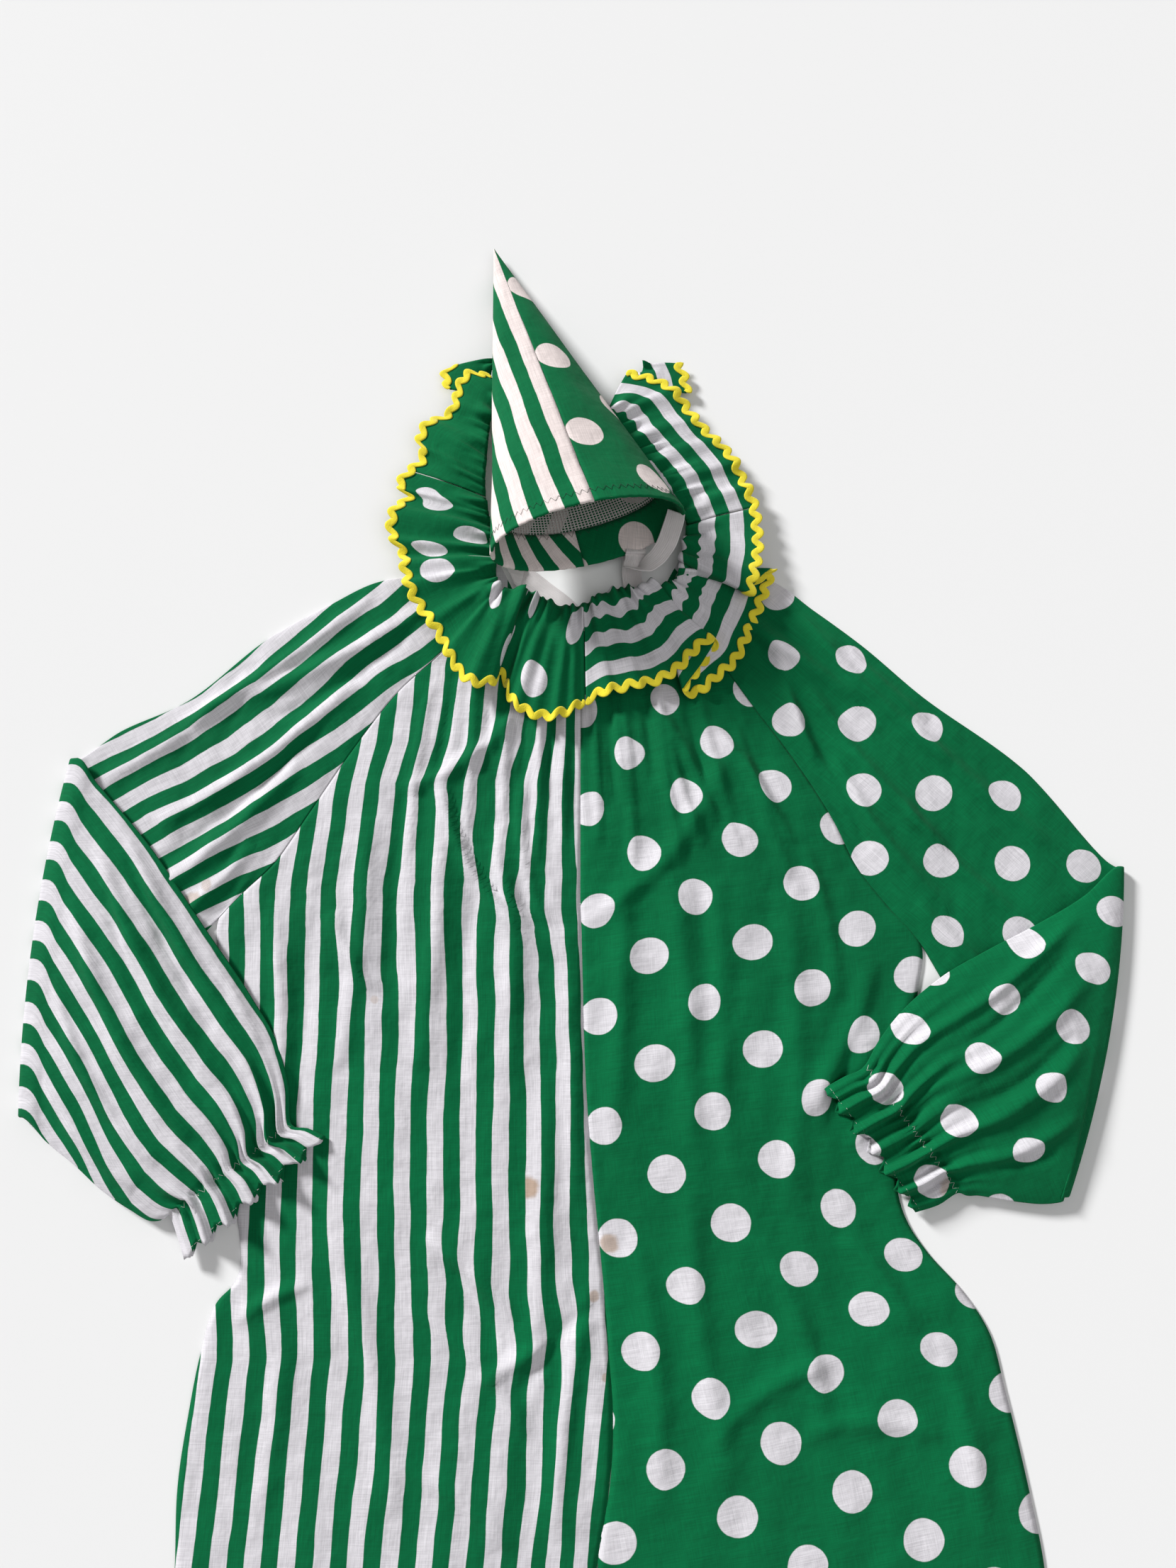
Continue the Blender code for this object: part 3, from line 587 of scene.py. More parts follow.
def age_spots(build, place):
    """How much of a tan spot there is at a place, with ragged edges."""
    ragged = build.math("MULTIPLY_ADD", build.noise(place, 130.0, 2.0), 0.006, -0.003)
    flat = build.mapped(place, Scale=(1.0, 1.0, 0.0))
    spots = 0.0
    for x, y, radius, strength in STAINS:
        apart = build.node("ShaderNodeVectorMath", operation="DISTANCE")
        build.fill(apart.inputs[0], flat)
        apart.inputs[1].default_value = (x - CENTRE_X, y - CENTRE_Y, 0.0)
        reach = build.math("ADD", apart.outputs["Value"], ragged)
        spots = build.math("MAXIMUM", spots, build.ramp(reach, radius * 0.55, radius, strength, 0.0))
    return spots


def cotton(name, pattern, turn, bleached=WHITE):
    """Printed cotton: the print's pattern, thread streaks, wear, age spots and a soft crumple."""
    build = Nodes(name, 0.9, 0.03)
    cut = build.node("ShaderNodeUVMap", uv_map="cut").outputs[0]
    place = build.node("ShaderNodeTexCoord").outputs["Object"]
    white = pattern(build, cut)
    streaks = weave(build, cut, turn)
    broad = build.ramp(build.noise(place, 5.0, 2.0), 0.3, 0.7)
    fine = build.ramp(build.noise(place, 60.0, 3.0), 0.3, 0.7)
    green = build.mix(broad, shaded(GREEN, 0.93), shaded(GREEN, 1.07))
    pale = build.mix(fine, shaded(bleached, 0.95), bleached)
    colour = build.mix(white, green, pale)
    grey = build.node("ShaderNodeCombineColor")
    shade = build.ramp(streaks, 0.32, 0.68, 0.82, 1.12)
    for socket in grey.inputs:
        build.fill(socket, shade)
    colour = build.mix(1.0, colour, grey.outputs[0], "MULTIPLY")
    stained = build.mix(1.0, colour, STAIN, "MULTIPLY")
    less_on_green = build.math("MULTIPLY_ADD", white, 0.8, 0.2)
    visible = build.math("MULTIPLY", age_spots(build, place), less_on_green)
    build.fill(build.shader.inputs["Base Color"], build.mix(visible, colour, stained))
    crumple = build.bump(build.noise(place, 34.0, 3.0), 0.5, 0.005)
    soft = build.bump(build.noise(place, 11.0, 2.0), 0.4, 0.014, crumple)
    build.fill(build.shader.inputs["Normal"], build.bump(streaks, 0.25, 0.0004, soft))
    return build.made


def stripes(build, cut):
    """White where the cloth coordinate u is in the first half of a period."""
    parts = build.node("ShaderNodeSeparateXYZ")
    build.fill(parts.inputs[0], cut)
    wander = build.math("MULTIPLY_ADD", build.noise(cut, 90.0, 2.0), 0.0008, -0.0004)
    drift = build.math("MULTIPLY_ADD", build.noise(cut, 15.0, 1.0), 0.0060, -0.0030)
    across = build.math("ADD", build.math("ADD", parts.outputs[0], wander), drift)
    turns = build.math("MULTIPLY_ADD", across, 1.0 / STRIPE_PERIOD, 0.25)
    away = build.math("ABSOLUTE", build.math("SUBTRACT", build.math("FRACT", turns), 0.5))
    return build.ramp(away, 0.238, 0.258, 1.0, 0.0)


def dots(build, cut):
    """White near each whole place of the lattice."""
    parts = build.node("ShaderNodeSeparateXYZ")
    build.fill(parts.inputs[0], cut)
    squares = []
    for axis in (0, 1):
        turns = build.math("MULTIPLY_ADD", parts.outputs[axis], 1.0 / DOT_SIDE_LENGTH, 0.5)
        away = build.math("SUBTRACT", build.math("FRACT", turns), 0.5)
        squares.append(build.math("MULTIPLY", away, away))
    reach = build.math("SQRT", build.math("ADD", *squares))
    edge = DOT_RADIUS / DOT_SIDE_LENGTH
    wander = build.math("MULTIPLY_ADD", build.noise(cut, 120.0, 2.0), 0.014, -0.007)
    return build.ramp(build.math("ADD", reach, wander), edge - 0.006, edge + 0.006, 1.0, 0.0)


def plain_thread(name, colour, roughness, rib_scale=None):
    """Tape, elastic, net and sewing thread: one colour with fine fibres."""
    build = Nodes(name, roughness, 0.25)
    place = build.node("ShaderNodeTexCoord").outputs["Object"]
    broad = build.ramp(build.noise(place, 45.0, 3.0), 0.25, 0.75)
    fibre = build.noise(place, 900.0, 2.0)
    dark = shaded(colour, 0.80)
    tone = build.mix(broad, dark, colour)
    worn = build.mix(build.ramp(fibre, 0.2, 0.8, 0.0, 0.25), tone, dark)
    build.fill(build.shader.inputs["Base Color"], worn)
    height = fibre
    if rib_scale is not None:
        cut = build.node("ShaderNodeUVMap", uv_map="cut").outputs[0]
        height = build.noise(build.mapped(cut, Scale=rib_scale), 1.0, 1.0)
    build.fill(build.shader.inputs["Normal"], build.bump(height, 0.5, 0.0006))
    return build.made


striped = cotton("striped_cotton_cloth", stripes, 0.0)
dotted = cotton("dotted_cotton_cloth", dots, math.radians(45.0))
striped_hat = cotton("striped_hat_cloth", stripes, 0.0, HAT_WHITE)
dotted_hat = cotton("dotted_hat_cloth", dots, math.radians(45.0), HAT_WHITE)
yellow = plain_thread("yellow_rickrack_tape", rgb(246, 228, 60), 0.75, (900.0, 900.0, 1.0))
net_look = plain_thread("white_net_thread", rgb(214, 212, 208), 0.8)
ribbed = plain_thread("white_elastic_band", rgb(232, 226, 226), 0.6, (60.0, 1500.0, 1.0))
white_thread = plain_thread("white_sewing_thread", rgb(225, 222, 220), 0.7)
dark_thread = plain_thread("dark_sewing_thread", rgb(30, 60, 50), 0.7)

# Creases: start, end, bow aside, half width, height
STRIPE_FRONT_CREASES = metres(
    (-68, 70, -175, -6, 13, 11, 2.7), (-138, 3, -29, -165, -20, 10, 3),
    (-128, -6, -34, -140, -20, 6, -1.8), (-82, -41, -49, -132, -14, 7, 2.4),
    (-59, 12, -36, -135, -13, 7, 2.2), (-235, -120, -195, -190, -5, 9, 2.4),
    (-12, 110, -14, -60, 1, 4, -1.2), (-22, 110, -26, -80, 1, 6, 1.6),
    (-34, 105, -36, -30, -1, 4, -1.4), (-46, 105, -48, -90, 1, 6, 1.8),
    (-60, 110, -62, -10, 1, 4, -1.3), (-74, 115, -78, -60, -2, 6, 1.6), (-92, 115, -98, 10, 1, 5, -1.3),
    (-108, 115, -114, -60, 2, 7, 1.8), (-128, 110, -146, -10, 2, 6, -1.4),
    (-150, 100, -168, -90, -3, 8, 1.6), (-140, 10, -152, -260, 8, 14, 2.4),
    (-168, 0, -178, -210, -6, 12, -1.6), (-75, -50, -70, -270, 5, 14, 2.2),
    (-100, -80, -112, -300, -6, 12, -1.4), (-205, -30, -222, -260, 6, 12, 2),
    (-240, -60, -256, -300, -5, 12, -1.3), (-290, -110, -272, -330, 6, 12, 2.2),
    (-20, -130, -12, -380, 3, 10, 1.6), (-40, -260, -50, -520, 6, 14, 1.8),
    (-130, -420, -80, -490, 6, 8, -1.8), (-140, -400, -60, -470, 4, 9, 2.2),
    (-150, -460, -50, -560, 10, 9, 2), (-60, -530, 10, -455, 6, 8, -2), (-90, -520, -10, -480, 4, 9, 2),
    (-220, -400, -160, -620, 8, 16, 1.8), (-300, -470, -240, -440, 4, 9, 2),
    (-260, -480, -280, -640, 6, 14, 1.6), (-160, -580, -60, -650, 8, 12, 1.8),
    (4, -440, -30, -640, -6, 10, 2.2), (-200, -700, -190, -1050, 12, 18, 2.4),
    (-120, -680, -110, -960, -10, 14, 2), (-280, -760, -255, -1180, 12, 18, 2.2),
    (-80, -900, -150, -1000, 10, 14, -1.8), (-150, -1060, -170, -1380, 10, 16, 2.4),
    (-240, -1120, -250, -1390, -8, 14, 2), (-90, -1120, -100, -1390, 6, 12, 1.8),
)
DOT_FRONT_CREASES = metres(
    (135, 40, -1, -132, 21, 15, 2.2), (122, 10, 10, -128, 22, 9, -0.7), (76, 60, 108, -62, -6, 7, 2.2),
    (26, 66, 34, -20, 0, 6, 2), (55, 90, 120, -40, 6, 8, 2), (75, 20, 150, -60, 6, 7, -1.4),
    (115, 60, 190, -60, 5, 8, 2.2), (200, -60, 225, -200, 6, 9, 2), (4, 110, 10, -60, 1, 5, 1.5),
    (18, 105, 26, -20, -1, 5, -1.3), (32, 100, 42, -100, 2, 7, 1.8), (50, 100, 62, 0, 1, 6, -1.4),
    (66, 100, 86, -80, -3, 8, 2), (86, 105, 112, -20, 2, 7, -1.4), (102, 110, 140, -60, -4, 9, 2),
    (126, 100, 164, -10, 3, 7, -1.3), (140, 80, 186, -90, -4, 10, 2), (30, -80, 20, -330, 6, 14, 2),
    (70, -60, 90, -330, 8, 16, 2.4), (120, -90, 130, -360, -8, 16, 1.8),
    (100, -80, 112, -250, 4, 12, -1.4), (180, -100, 176, -380, 8, 16, 2),
    (260, -160, 190, -300, 8, 12, 2.4), (290, -190, 230, -330, 6, 10, 2.2),
    (240, -200, 210, -320, 4, 10, -1.4), (40, -400, 60, -620, 8, 14, 2),
    (90, -360, 120, -600, -8, 16, 2.2), (150, -400, 200, -560, 8, 14, 2),
    (110, -560, 210, -500, 10, 12, 2), (180, -560, 300, -560, 12, 12, 1.8),
    (220, -400, 280, -480, 6, 12, 2.2), (300, -480, 330, -640, 4, 14, 2),
    (240, -640, 250, -900, 12, 18, 2.2), (150, -680, 160, -1020, -12, 16, 2.2),
    (300, -780, 290, -1150, 10, 16, 2), (110, -920, 190, -1000, -10, 14, -1.6),
    (180, -1060, 190, -1380, -10, 16, 2.4), (270, -1100, 280, -1390, 8, 14, 2),
    (110, -1140, 120, -1390, 6, 12, 1.8),
)
BACK_CREASES = metres(
    (40, 150, 60, -200, 10, 14, 0.7), (110, 60, 130, -280, -10, 16, 0.6),
    (190, 0, 180, -360, 12, 16, 0.7), (240, -160, 120, -330, 12, 14, 0.6),
    (80, -340, 100, -640, 12, 16, 0.7), (220, -420, 150, -560, 10, 14, 0.6),
    (30, -480, 160, -600, 10, 12, 0.7), (270, -560, 260, -900, 12, 16, 0.6),
    (150, -700, 160, -1050, -12, 16, 0.7), (230, -980, 220, -1360, 10, 16, 0.6),
    (110, -1080, 120, -1380, 8, 14, 0.7),
)
STRIPE_UPPER_CREASES = metres(
    (-150, 180, -330, 80, 8, 12, 3), (-170, 150, -300, 60, 6, 10, -1.8),
    (-210, 185, -380, 60, 6, 10, 2.6), (-220, 100, -400, -40, 10, 12, 3),
    (-250, 60, -400, -80, 6, 10, -1.6), (-270, 20, -420, -120, 8, 12, 2.8),
    (-320, 100, -460, 0, 6, 12, 2.4), (-310, -60, -380, -130, 4, 10, 2.2),
    (-120, 150, -170, 100, 2, 6, -1.6),
)
STRIPE_LOWER_CREASES = metres(
    (-440, -20, -300, -240, -8, 8, 3.4), (-430, -50, -330, -230, -6, 7, -2.6),
    (-450, -60, -320, -270, -12, 10, 4), (-440, -100, -330, -290, -12, 8, -2.6),
    (-470, -110, -345, -320, -14, 11, 4.4), (-480, -180, -370, -340, -14, 10, 3.6),
    (-470, -190, -380, -330, -10, 7, -2.2), (-490, -250, -390, -360, -10, 10, 3),
    (-370, -120, -290, -240, 4, 6, 2.8),
)
DOT_UPPER_CREASES = metres(
    (120, 185, 200, 120, -3, 8, 2.6), (185, 120, 215, 20, -4, 9, 3), (205, 60, 260, -60, 4, 8, -1.6),
    (250, 130, 320, 60, -3, 9, 2.2), (140, 180, 260, 80, -6, 12, 3), (160, 140, 250, 30, -6, 10, -1.8),
    (200, 170, 340, 20, -6, 12, 2.8), (210, 90, 330, -60, -8, 12, 3), (230, 20, 330, -120, -8, 12, 2.6),
    (300, 60, 430, -60, -4, 12, 2.6), (290, -20, 400, -130, -6, 10, 2.4),
    (300, -110, 360, -170, -4, 10, 2.2),
)
DOT_LOWER_CREASES = metres(
    (450, -120, 290, -240, 6, 8, 3.6), (440, -150, 320, -250, 6, 7, -2.4),
    (450, -180, 300, -280, 10, 10, 4), (430, -230, 320, -300, 8, 8, -2.4),
    (440, -240, 310, -320, 10, 10, 4), (430, -300, 320, -345, 6, 9, 3.4),
    (410, -330, 340, -340, 4, 6, -2),
)
# Gathers at a cuff, across its width: share of the way from the top edge, half width, height
CUFF_FOLDS = (
    (0.03, 0.022, 0.002), (0.1, 0.018, -0.0022), (0.17, 0.026, 0.0034), (0.25, 0.02, -0.0026),
    (0.33, 0.03, 0.004), (0.42, 0.02, -0.003), (0.5, 0.024, 0.0032), (0.58, 0.022, -0.0028),
    (0.66, 0.03, 0.0042), (0.75, 0.018, -0.0024), (0.82, 0.024, 0.0034), (0.9, 0.02, -0.0026),
    (0.96, 0.02, 0.0022),
)


# ---------------------------------------------------------------- the suit's panels
def table_column(table, column, y):
    """A column of a table that is keyed by its first column, at other values of that key."""
    rows = np.array(sorted(table))
    return np.interp(y, rows[:, 0], rows[:, column])


def number_across(table, numbers, x, y):
    """The number of the column that a place lies at, which goes on evenly past the outer columns."""
    knots = np.stack([table_column(table, 1 + k, y) for k in range(len(numbers))], -1)
    found = np.empty_like(x)
    for index in np.ndindex(x.shape):
        known = knots[index]
        order = np.argsort(known)
        known, values = known[order], np.array(numbers, dtype=float)[order]
        spot = int(np.clip(np.searchsorted(known, x[index]) - 1, 0, len(known) - 2))
        slope = (values[spot + 1] - values[spot]) / (known[spot + 1] - known[spot])
        found[index] = values[spot] + (x[index] - known[spot]) * slope
    return found


def stripe_body_cut(x, y):
    """Cloth coordinates of the striped body: its bands run down the body and crowd at the centre."""
    return np.stack([-number_across(STRIPE_CUT, STRIPE_CUT_BANDS, x, y) * STRIPE_PERIOD, y], -1)


def dot_body_cut(x, y):
    """Cloth coordinates of the dotted body, along its square lattice."""
    number = number_across(DOT_CUT, DOT_CUT_COLUMNS, x, y)
    row = (DOT_ROW_START + table_column(DOT_ROW_SLOPE, 1, y) * x - y) / DOT_ROW_STEP
    return np.stack([number / 2.0 - row, number / 2.0 + row], -1) * DOT_SIDE_LENGTH


def panel_grid(rows, length, columns):
    """Table places of a panel: rows from the neck down, columns from the side to the centre."""
    rows = np.array(rows, dtype=float)
    fine = smooth(rows, steps_for(rows.reshape(len(rows), 2, 2), length))
    across = np.linspace(0.0, 1.0, columns)[None, :, None]
    flat = fine[:, None, :2] * (1.0 - across) + fine[:, None, 2:] * across
    return flat[..., 0], flat[..., 1], np.broadcast_to(across[..., 0], flat.shape[:2])


FRONT_STEP, FRONT_COLUMNS = 0.005, 68
BACK_STEP, BACK_COLUMNS = 0.008, 44
FRONT_LOFT = 0.0014          # how far the air under a front lifts it, and how much more near the neck
NECK_LOFT = 0.0018
SEAM_WAVE = 0.00035          # puckers along the centre seam
SEAM_SINK = 0.0008           # the centre seam and the side seam lie lower than the cloth beside them
SIDE_SINK = 0.0009
UNDER_FRONT = FRONT_BASE - 0.0002


def panel(name, x, y, z, coordinates, look, sign):
    """A panel's piece, with its outer side up on either half of the suit."""
    points = placed(np.stack([x, y, z], -1))
    if sign < 0:
        points, coordinates = points[:, ::-1], coordinates[:, ::-1]
    return cloth_piece(name, points, coordinates, look)


def front_panel(name, rows, creases, cut, look, sign):
    """A front: lifted over the back, creased, with a wavy centre seam and edges that lie down."""
    x, y, across = panel_grid(rows, FRONT_STEP, FRONT_COLUMNS)
    body = np.sin(np.pi * across) ** 0.7
    lift = body * (FRONT_LOFT + NECK_LOFT * (1.0 - ease((y - 0.02) / 0.10)))
    shown = ease(across / 0.04) * ease((1.0 - across) / 0.03)
    above = CLOTH + lift + (relief(x, y, creases) + unevenness(x, y)) * shown
    puckers = np.sin(y * 420.0 + 2.0 * np.sin(y * 57.0))
    above += SEAM_WAVE * puckers * ease((across - 0.93) / 0.06)
    above -= SEAM_SINK * ease((across - 0.985) / 0.015)
    above -= SIDE_SINK * (1.0 - ease(across / 0.02)) * ease((-0.125 - y) / 0.02)
    z = FRONT_BASE + np.maximum(above, 0.0) + 0.0004 * np.minimum(above, 0.0)
    return panel(name, x, y, z, cut(*taken_up(x, y, creases)), look, sign)


def back_panel(name, rows, cut, look, sign):
    """A back: nearly flat on the floor, and always below the fronts."""
    x, y, _ = panel_grid(rows, BACK_STEP, BACK_COLUMNS)
    z = CLOTH / 2.0 + np.maximum(relief(x * sign, y, BACK_CREASES), 0.0)
    z = z + 0.0002 * (1.0 + np.sin(x * 90.0 + 2.0 * np.sin(y * 17.0)))
    return panel(name, x, y, np.minimum(z, UNDER_FRONT), cut(x, y), look, sign)


def body_rows(side, leg):
    """A front's outline: its side edge and the centre line, then the leg."""
    return tuple((*edge, *middle) for edge, middle in zip(side, CENTRE_LINE)) + leg


def back_rows(top, rows, sign):
    """The back's rows: the reach past the shoulder, the slit's edge, then the front's outline."""
    made = list(top)
    for index, (side_x, side_y, centre_x, centre_y) in enumerate(rows):
        if index < len(SLIT_EDGES):
            centre_x = SLIT_MIDDLE_X + sign * SLIT_EDGES[index]
        made.append((side_x, side_y, centre_x, centre_y))
    return tuple(made)


stripe_rows = body_rows(STRIPE_SIDE, STRIPE_LEG)
dot_rows = body_rows(DOT_SIDE, DOT_LEG)
stripe_back_rows = back_rows(STRIPE_BACK_TOP, stripe_rows, -1.0)
dot_back_rows = back_rows(DOT_BACK_TOP, dot_rows, 1.0)
front_stripe = front_panel(
    "suit_front_striped", stripe_rows, STRIPE_FRONT_CREASES, stripe_body_cut, striped, -1)
front_dot = front_panel("suit_front_dotted", dot_rows, DOT_FRONT_CREASES, dot_body_cut, dotted, 1)
back_stripe = back_panel("suit_back_striped", stripe_back_rows, stripe_body_cut, striped, -1)
back_dot = back_panel("suit_back_dotted", dot_back_rows, dot_body_cut, dotted, 1)


# ---------------------------------------------------------------- sleeves
SLEEVE_COLUMNS = 70
SLEEVE_STEP = 0.0045
LOWER_RELIEF = 0.68          # the lower sleeve's creases are this much of their table
# A sleeve's rows are known by a number: from 0 at the raglan seam, 10 to 11 round the fold-back, and
# from 20 down to the cuff. In between it says how far on the row is.
FOLD_ROW = 10.0
LOWER_ROW = 20.0
GATHERED_ROW = 26.0          # where the cuff is gathered
LAYERS_APART = 1.2 * CLOTH
FRILL_SHIFT = 1.6            # how far a gather shifts the cuff's edge against its height
PINCH_DROP = 0.0022          # how far the gathering line sinks, and how far the layer below rises
PINCH_RISE = 0.0016


def bowed(top, under, bow, outward, shares):
    """A line across the sleeve, which bows outward in its middle."""
    middle = np.array(top) * (1.0 - shares) + np.array(under) * shares
    middle[:, 0] += outward * bow * 4.0 * shares[:, 0] * (1.0 - shares[:, 0])
    return middle


def sleeve_sides(side, shoulder, upper, crease, lower):
    """The sleeve's front and back as rows of points, and the number of each row."""
    outward = math.copysign(1.0, shoulder[0])
    seam = [shoulder, *side[:RAGLAN_POINTS]]
    count = SLEEVE_COLUMNS
    shares = np.linspace(0.0, 1.0, count)[:, None]
    curve = smooth(seam, 12)
    places = np.linspace(0.0, 1.0, len(curve))
    seam_line = np.stack([np.interp(shares[:, 0], places, curve[:, axis]) for axis in (0, 1)], -1)
    swell = np.sin(np.pi * shares) ** 0.6
    armpit = np.array(side[RAGLAN_POINTS - 1])
    under_corner = np.array(crease[1])
    front, back, kinds = [], [], []

    def add(line, low, high, front_up, kind):
        top = low + SLEEVE_FLAT + (high - SLEEVE_FLAT) * swell - CLOTH / 2.0
        bottom = np.full_like(top, low + CLOTH / 2.0)
        front.append(np.hstack([line, top if front_up else bottom]))
        back.append(np.hstack([line, bottom if front_up else top]))
        kinds.append(kind)

    add(seam_line, 0.0, SLEEVE_FLAT, True, 0.0)
    for number, (top_x, top_y, under, height) in enumerate(upper):
        end = armpit + (under_corner - armpit) * under
        add(bowed((top_x, top_y), end, 0.0, outward, shares), 0.0, height, True, 1.0 + number)
    outer = SLEEVE_TURN_RADIUS + CREASE_HEIGHT
    axis_z = outer
    line = bowed(crease[0], crease[1], crease[2], outward, shares)
    for degrees in (0, 45, 90, 135, 180):
        angle = math.radians(degrees)
        kinds.append(FOLD_ROW + degrees / 180.0)
        for rows, radius in ((front, SLEEVE_TURN_RADIUS + CLOTH / 2.0), (back, outer - CLOTH / 2.0)):
            reach = line.copy()
            reach[:, 0] += outward * (radius * math.sin(angle) - outer)
            height = np.full((count, 1), axis_z - radius * math.cos(angle))
            rows.append(np.hstack([reach, height]))
    low = CREASE_HEIGHT + 2.0 * SLEEVE_TURN_RADIUS
    for number, (top_x, top_y, under_x, under_y, bow, height) in enumerate(lower):
        line = bowed((top_x, top_y), (under_x, under_y), bow, outward, shares)
        add(line, low, height, False, LOWER_ROW + number)
    front, back, kinds = np.array(front), np.array(back), np.array(kinds)
    both = np.concatenate([front, back], 1)
    steps = steps_for(both, SLEEVE_STEP)
    fine = smooth(both, steps)
    fine_kinds = np.interp(np.arange(len(fine)), np.concatenate([[0], np.cumsum(steps)]), kinds)
    return fine[:, :count], fine[:, count:], fine_kinds


def affine_cut(x, y, base):
    """Lattice coordinates where one dot's place and the steps to its neighbours are known."""
    (x0, y0), first, second = base
    steps = np.array([[first[0], second[0]], [first[1], second[1]]])
    solved = np.linalg.solve(steps, np.stack([x - x0, y - y0]).reshape(2, -1))
    return solved.reshape(2, *x.shape).transpose(*range(1, x.ndim + 1), 0) * DOT_SIDE_LENGTH


def upper_stripe_cut(x, y):
    """The upper striped sleeve's bands run along it."""
    dx, dy = x - SLEEVE_START[0], y - SLEEVE_START[1]
    along = dx * SLEEVE_ALONG[0] + dy * SLEEVE_ALONG[1]
    across = -dx * SLEEVE_ALONG[1] + dy * SLEEVE_ALONG[0]
    start = table_column(SLEEVE_CUT, 1, along)
    spacing = table_column(SLEEVE_CUT, 2, along)
    return np.stack([(across - start) / spacing * STRIPE_PERIOD, along], -1)


def lower_stripe_cut(shares, kinds, x, y):
    """The lower striped sleeve's bands share out its width, which has fewer of them toward the cuff."""
    known = [FOLD_ROW + 0.5, FOLD_ROW + 1.0] + [LOWER_ROW + k for k in range(len(LOWER_PERIODS))]
    periods = np.interp(kinds, known, [CREASE_PERIODS, CREASE_PERIODS, *LOWER_PERIODS])
    number = LOWER_PERIOD_START + shares * periods[:, None]
    return np.stack([number * STRIPE_PERIOD, y], -1)


def upper_dot_cut(x, y):
    return affine_cut(x, y, UPPER_DOT)


def lower_dot_cut(shares, kinds, x, y):
    return affine_cut(x, y, LOWER_DOT)


END_TURNS = (30, 60, 90, 120, 150)    # degrees round a sleeve's edge


def tube_ends(front, back):
    """The two rounded edges that join a sleeve's front and back."""
    ends = []
    for end, inside in ((-1, -2), (0, 1)):
        middle = (front[:, end] + back[:, end]) / 2.0
        away = front[:, end] - front[:, inside]
        away[:, 2] = 0.0
        away = unit(away)
        half = (front[:, end] - back[:, end]) / 2.0
        size = np.linalg.norm(half, axis=1, keepdims=True)
        turn = []
        for degrees in END_TURNS:
            angle = math.radians(degrees)
            turn.append(middle + half * math.cos(angle) + away * size * math.sin(angle))
        ends.append(np.stack(turn, 1))
    return ends


def sleeve(name, front, back, kinds, upper_creases, lower_creases, upper_cut, lower_cut, look, flip):
    """A tube of cloth from its two sides, with creases, cuff gathers and cloth coordinates."""
    rows, count = front.shape[:2]
    shares = np.broadcast_to(np.linspace(0.0, 1.0, count), (rows, count))
    inner = ease(shares / 0.06) * ease((1.0 - shares) / 0.06)

    def from_row(start, span):
        return ease((kinds - start) / span)[:, None]

    on_upper = ease((9.0 - kinds) / 3.0)[:, None]
    on_lower = from_row(LOWER_ROW - 0.5, 1.5)
    near_cuff = from_row(LOWER_ROW + 1.4, 3.0)
    cuff = from_row(LOWER_ROW + 2.2, 3.6)
    frill = from_row(GATHERED_ROW, 2.0)
    pinch = hump(kinds - GATHERED_ROW, 0.55)[:, None]
    folds = ripples(shares, CUFF_FOLDS)
    fine_folds = ripples(shares * 2.0 % 1.0, CUFF_FOLDS) * 0.65
    upper_rows, lower_rows = kinds < FOLD_ROW - 0.5, kinds > LOWER_ROW - 0.5
    for layer, creases, strength in (
        (front, upper_creases, on_upper * inner * from_row(0.0, 0.35)),
        (back, lower_creases, LOWER_RELIEF * on_lower * (1.0 - 0.5 * cuff) * inner),
    ):
        x, y = layer[..., 0], layer[..., 1]
        layer[..., 2] += (relief(x, y, creases) + unevenness(x, y)) * strength
    gathers = folds * cuff * (1.0 + 0.5 * frill) + fine_folds * (0.4 * near_cuff + 0.8 * cuff + 2.0 * pinch)
    back[..., 2] += gathers * inner - PINCH_DROP * pinch * inner
    front[..., 2] -= 0.35 * (gathers * inner) * on_lower
    front[..., 2] += PINCH_RISE * pinch * inner
    for rows_above, above, below in ((upper_rows, front, back), (lower_rows, back, front)):
        least = below[rows_above, :, 2] + LAYERS_APART
        above[rows_above, :, 2] = np.maximum(above[rows_above, :, 2], least)
    shift = FRILL_SHIFT * folds * frill
    along = unit(np.gradient(back[..., :2], axis=0))
    for layer in (front, back):
        layer[..., :2] += along * shift[..., None] * inner[..., None]
    low_end, top_end = tube_ends(front, back)
    ring = np.concatenate([front, low_end, back[:, ::-1], top_end[:, ::-1]], 1)
    total = ring.shape[1]
    there, edge = np.linspace(0.0, 1.0, count), np.ones(len(END_TURNS))
    ring_share = np.concatenate([there, edge, there[::-1], 0.0 * edge])
    ring_share = np.broadcast_to(ring_share, (rows, total))
    x, y = ring[..., 0], ring[..., 1]
    cuts = [
        upper_cut(*taken_up(x, y, upper_creases)),
        lower_cut(ring_share, kinds, *taken_up(x, y, lower_creases)),
    ]
    regions = np.broadcast_to((kinds[:-1] >= FOLD_ROW + 0.4)[:, None], (rows - 1, total)).astype(int)
    points = placed(ring)
    if flip:
        points = points[:, ::-1]
        cuts = [cut[:, ::-1] for cut in cuts]
    return cloth_piece(name, points, cuts, look, closed=True, regions=regions)


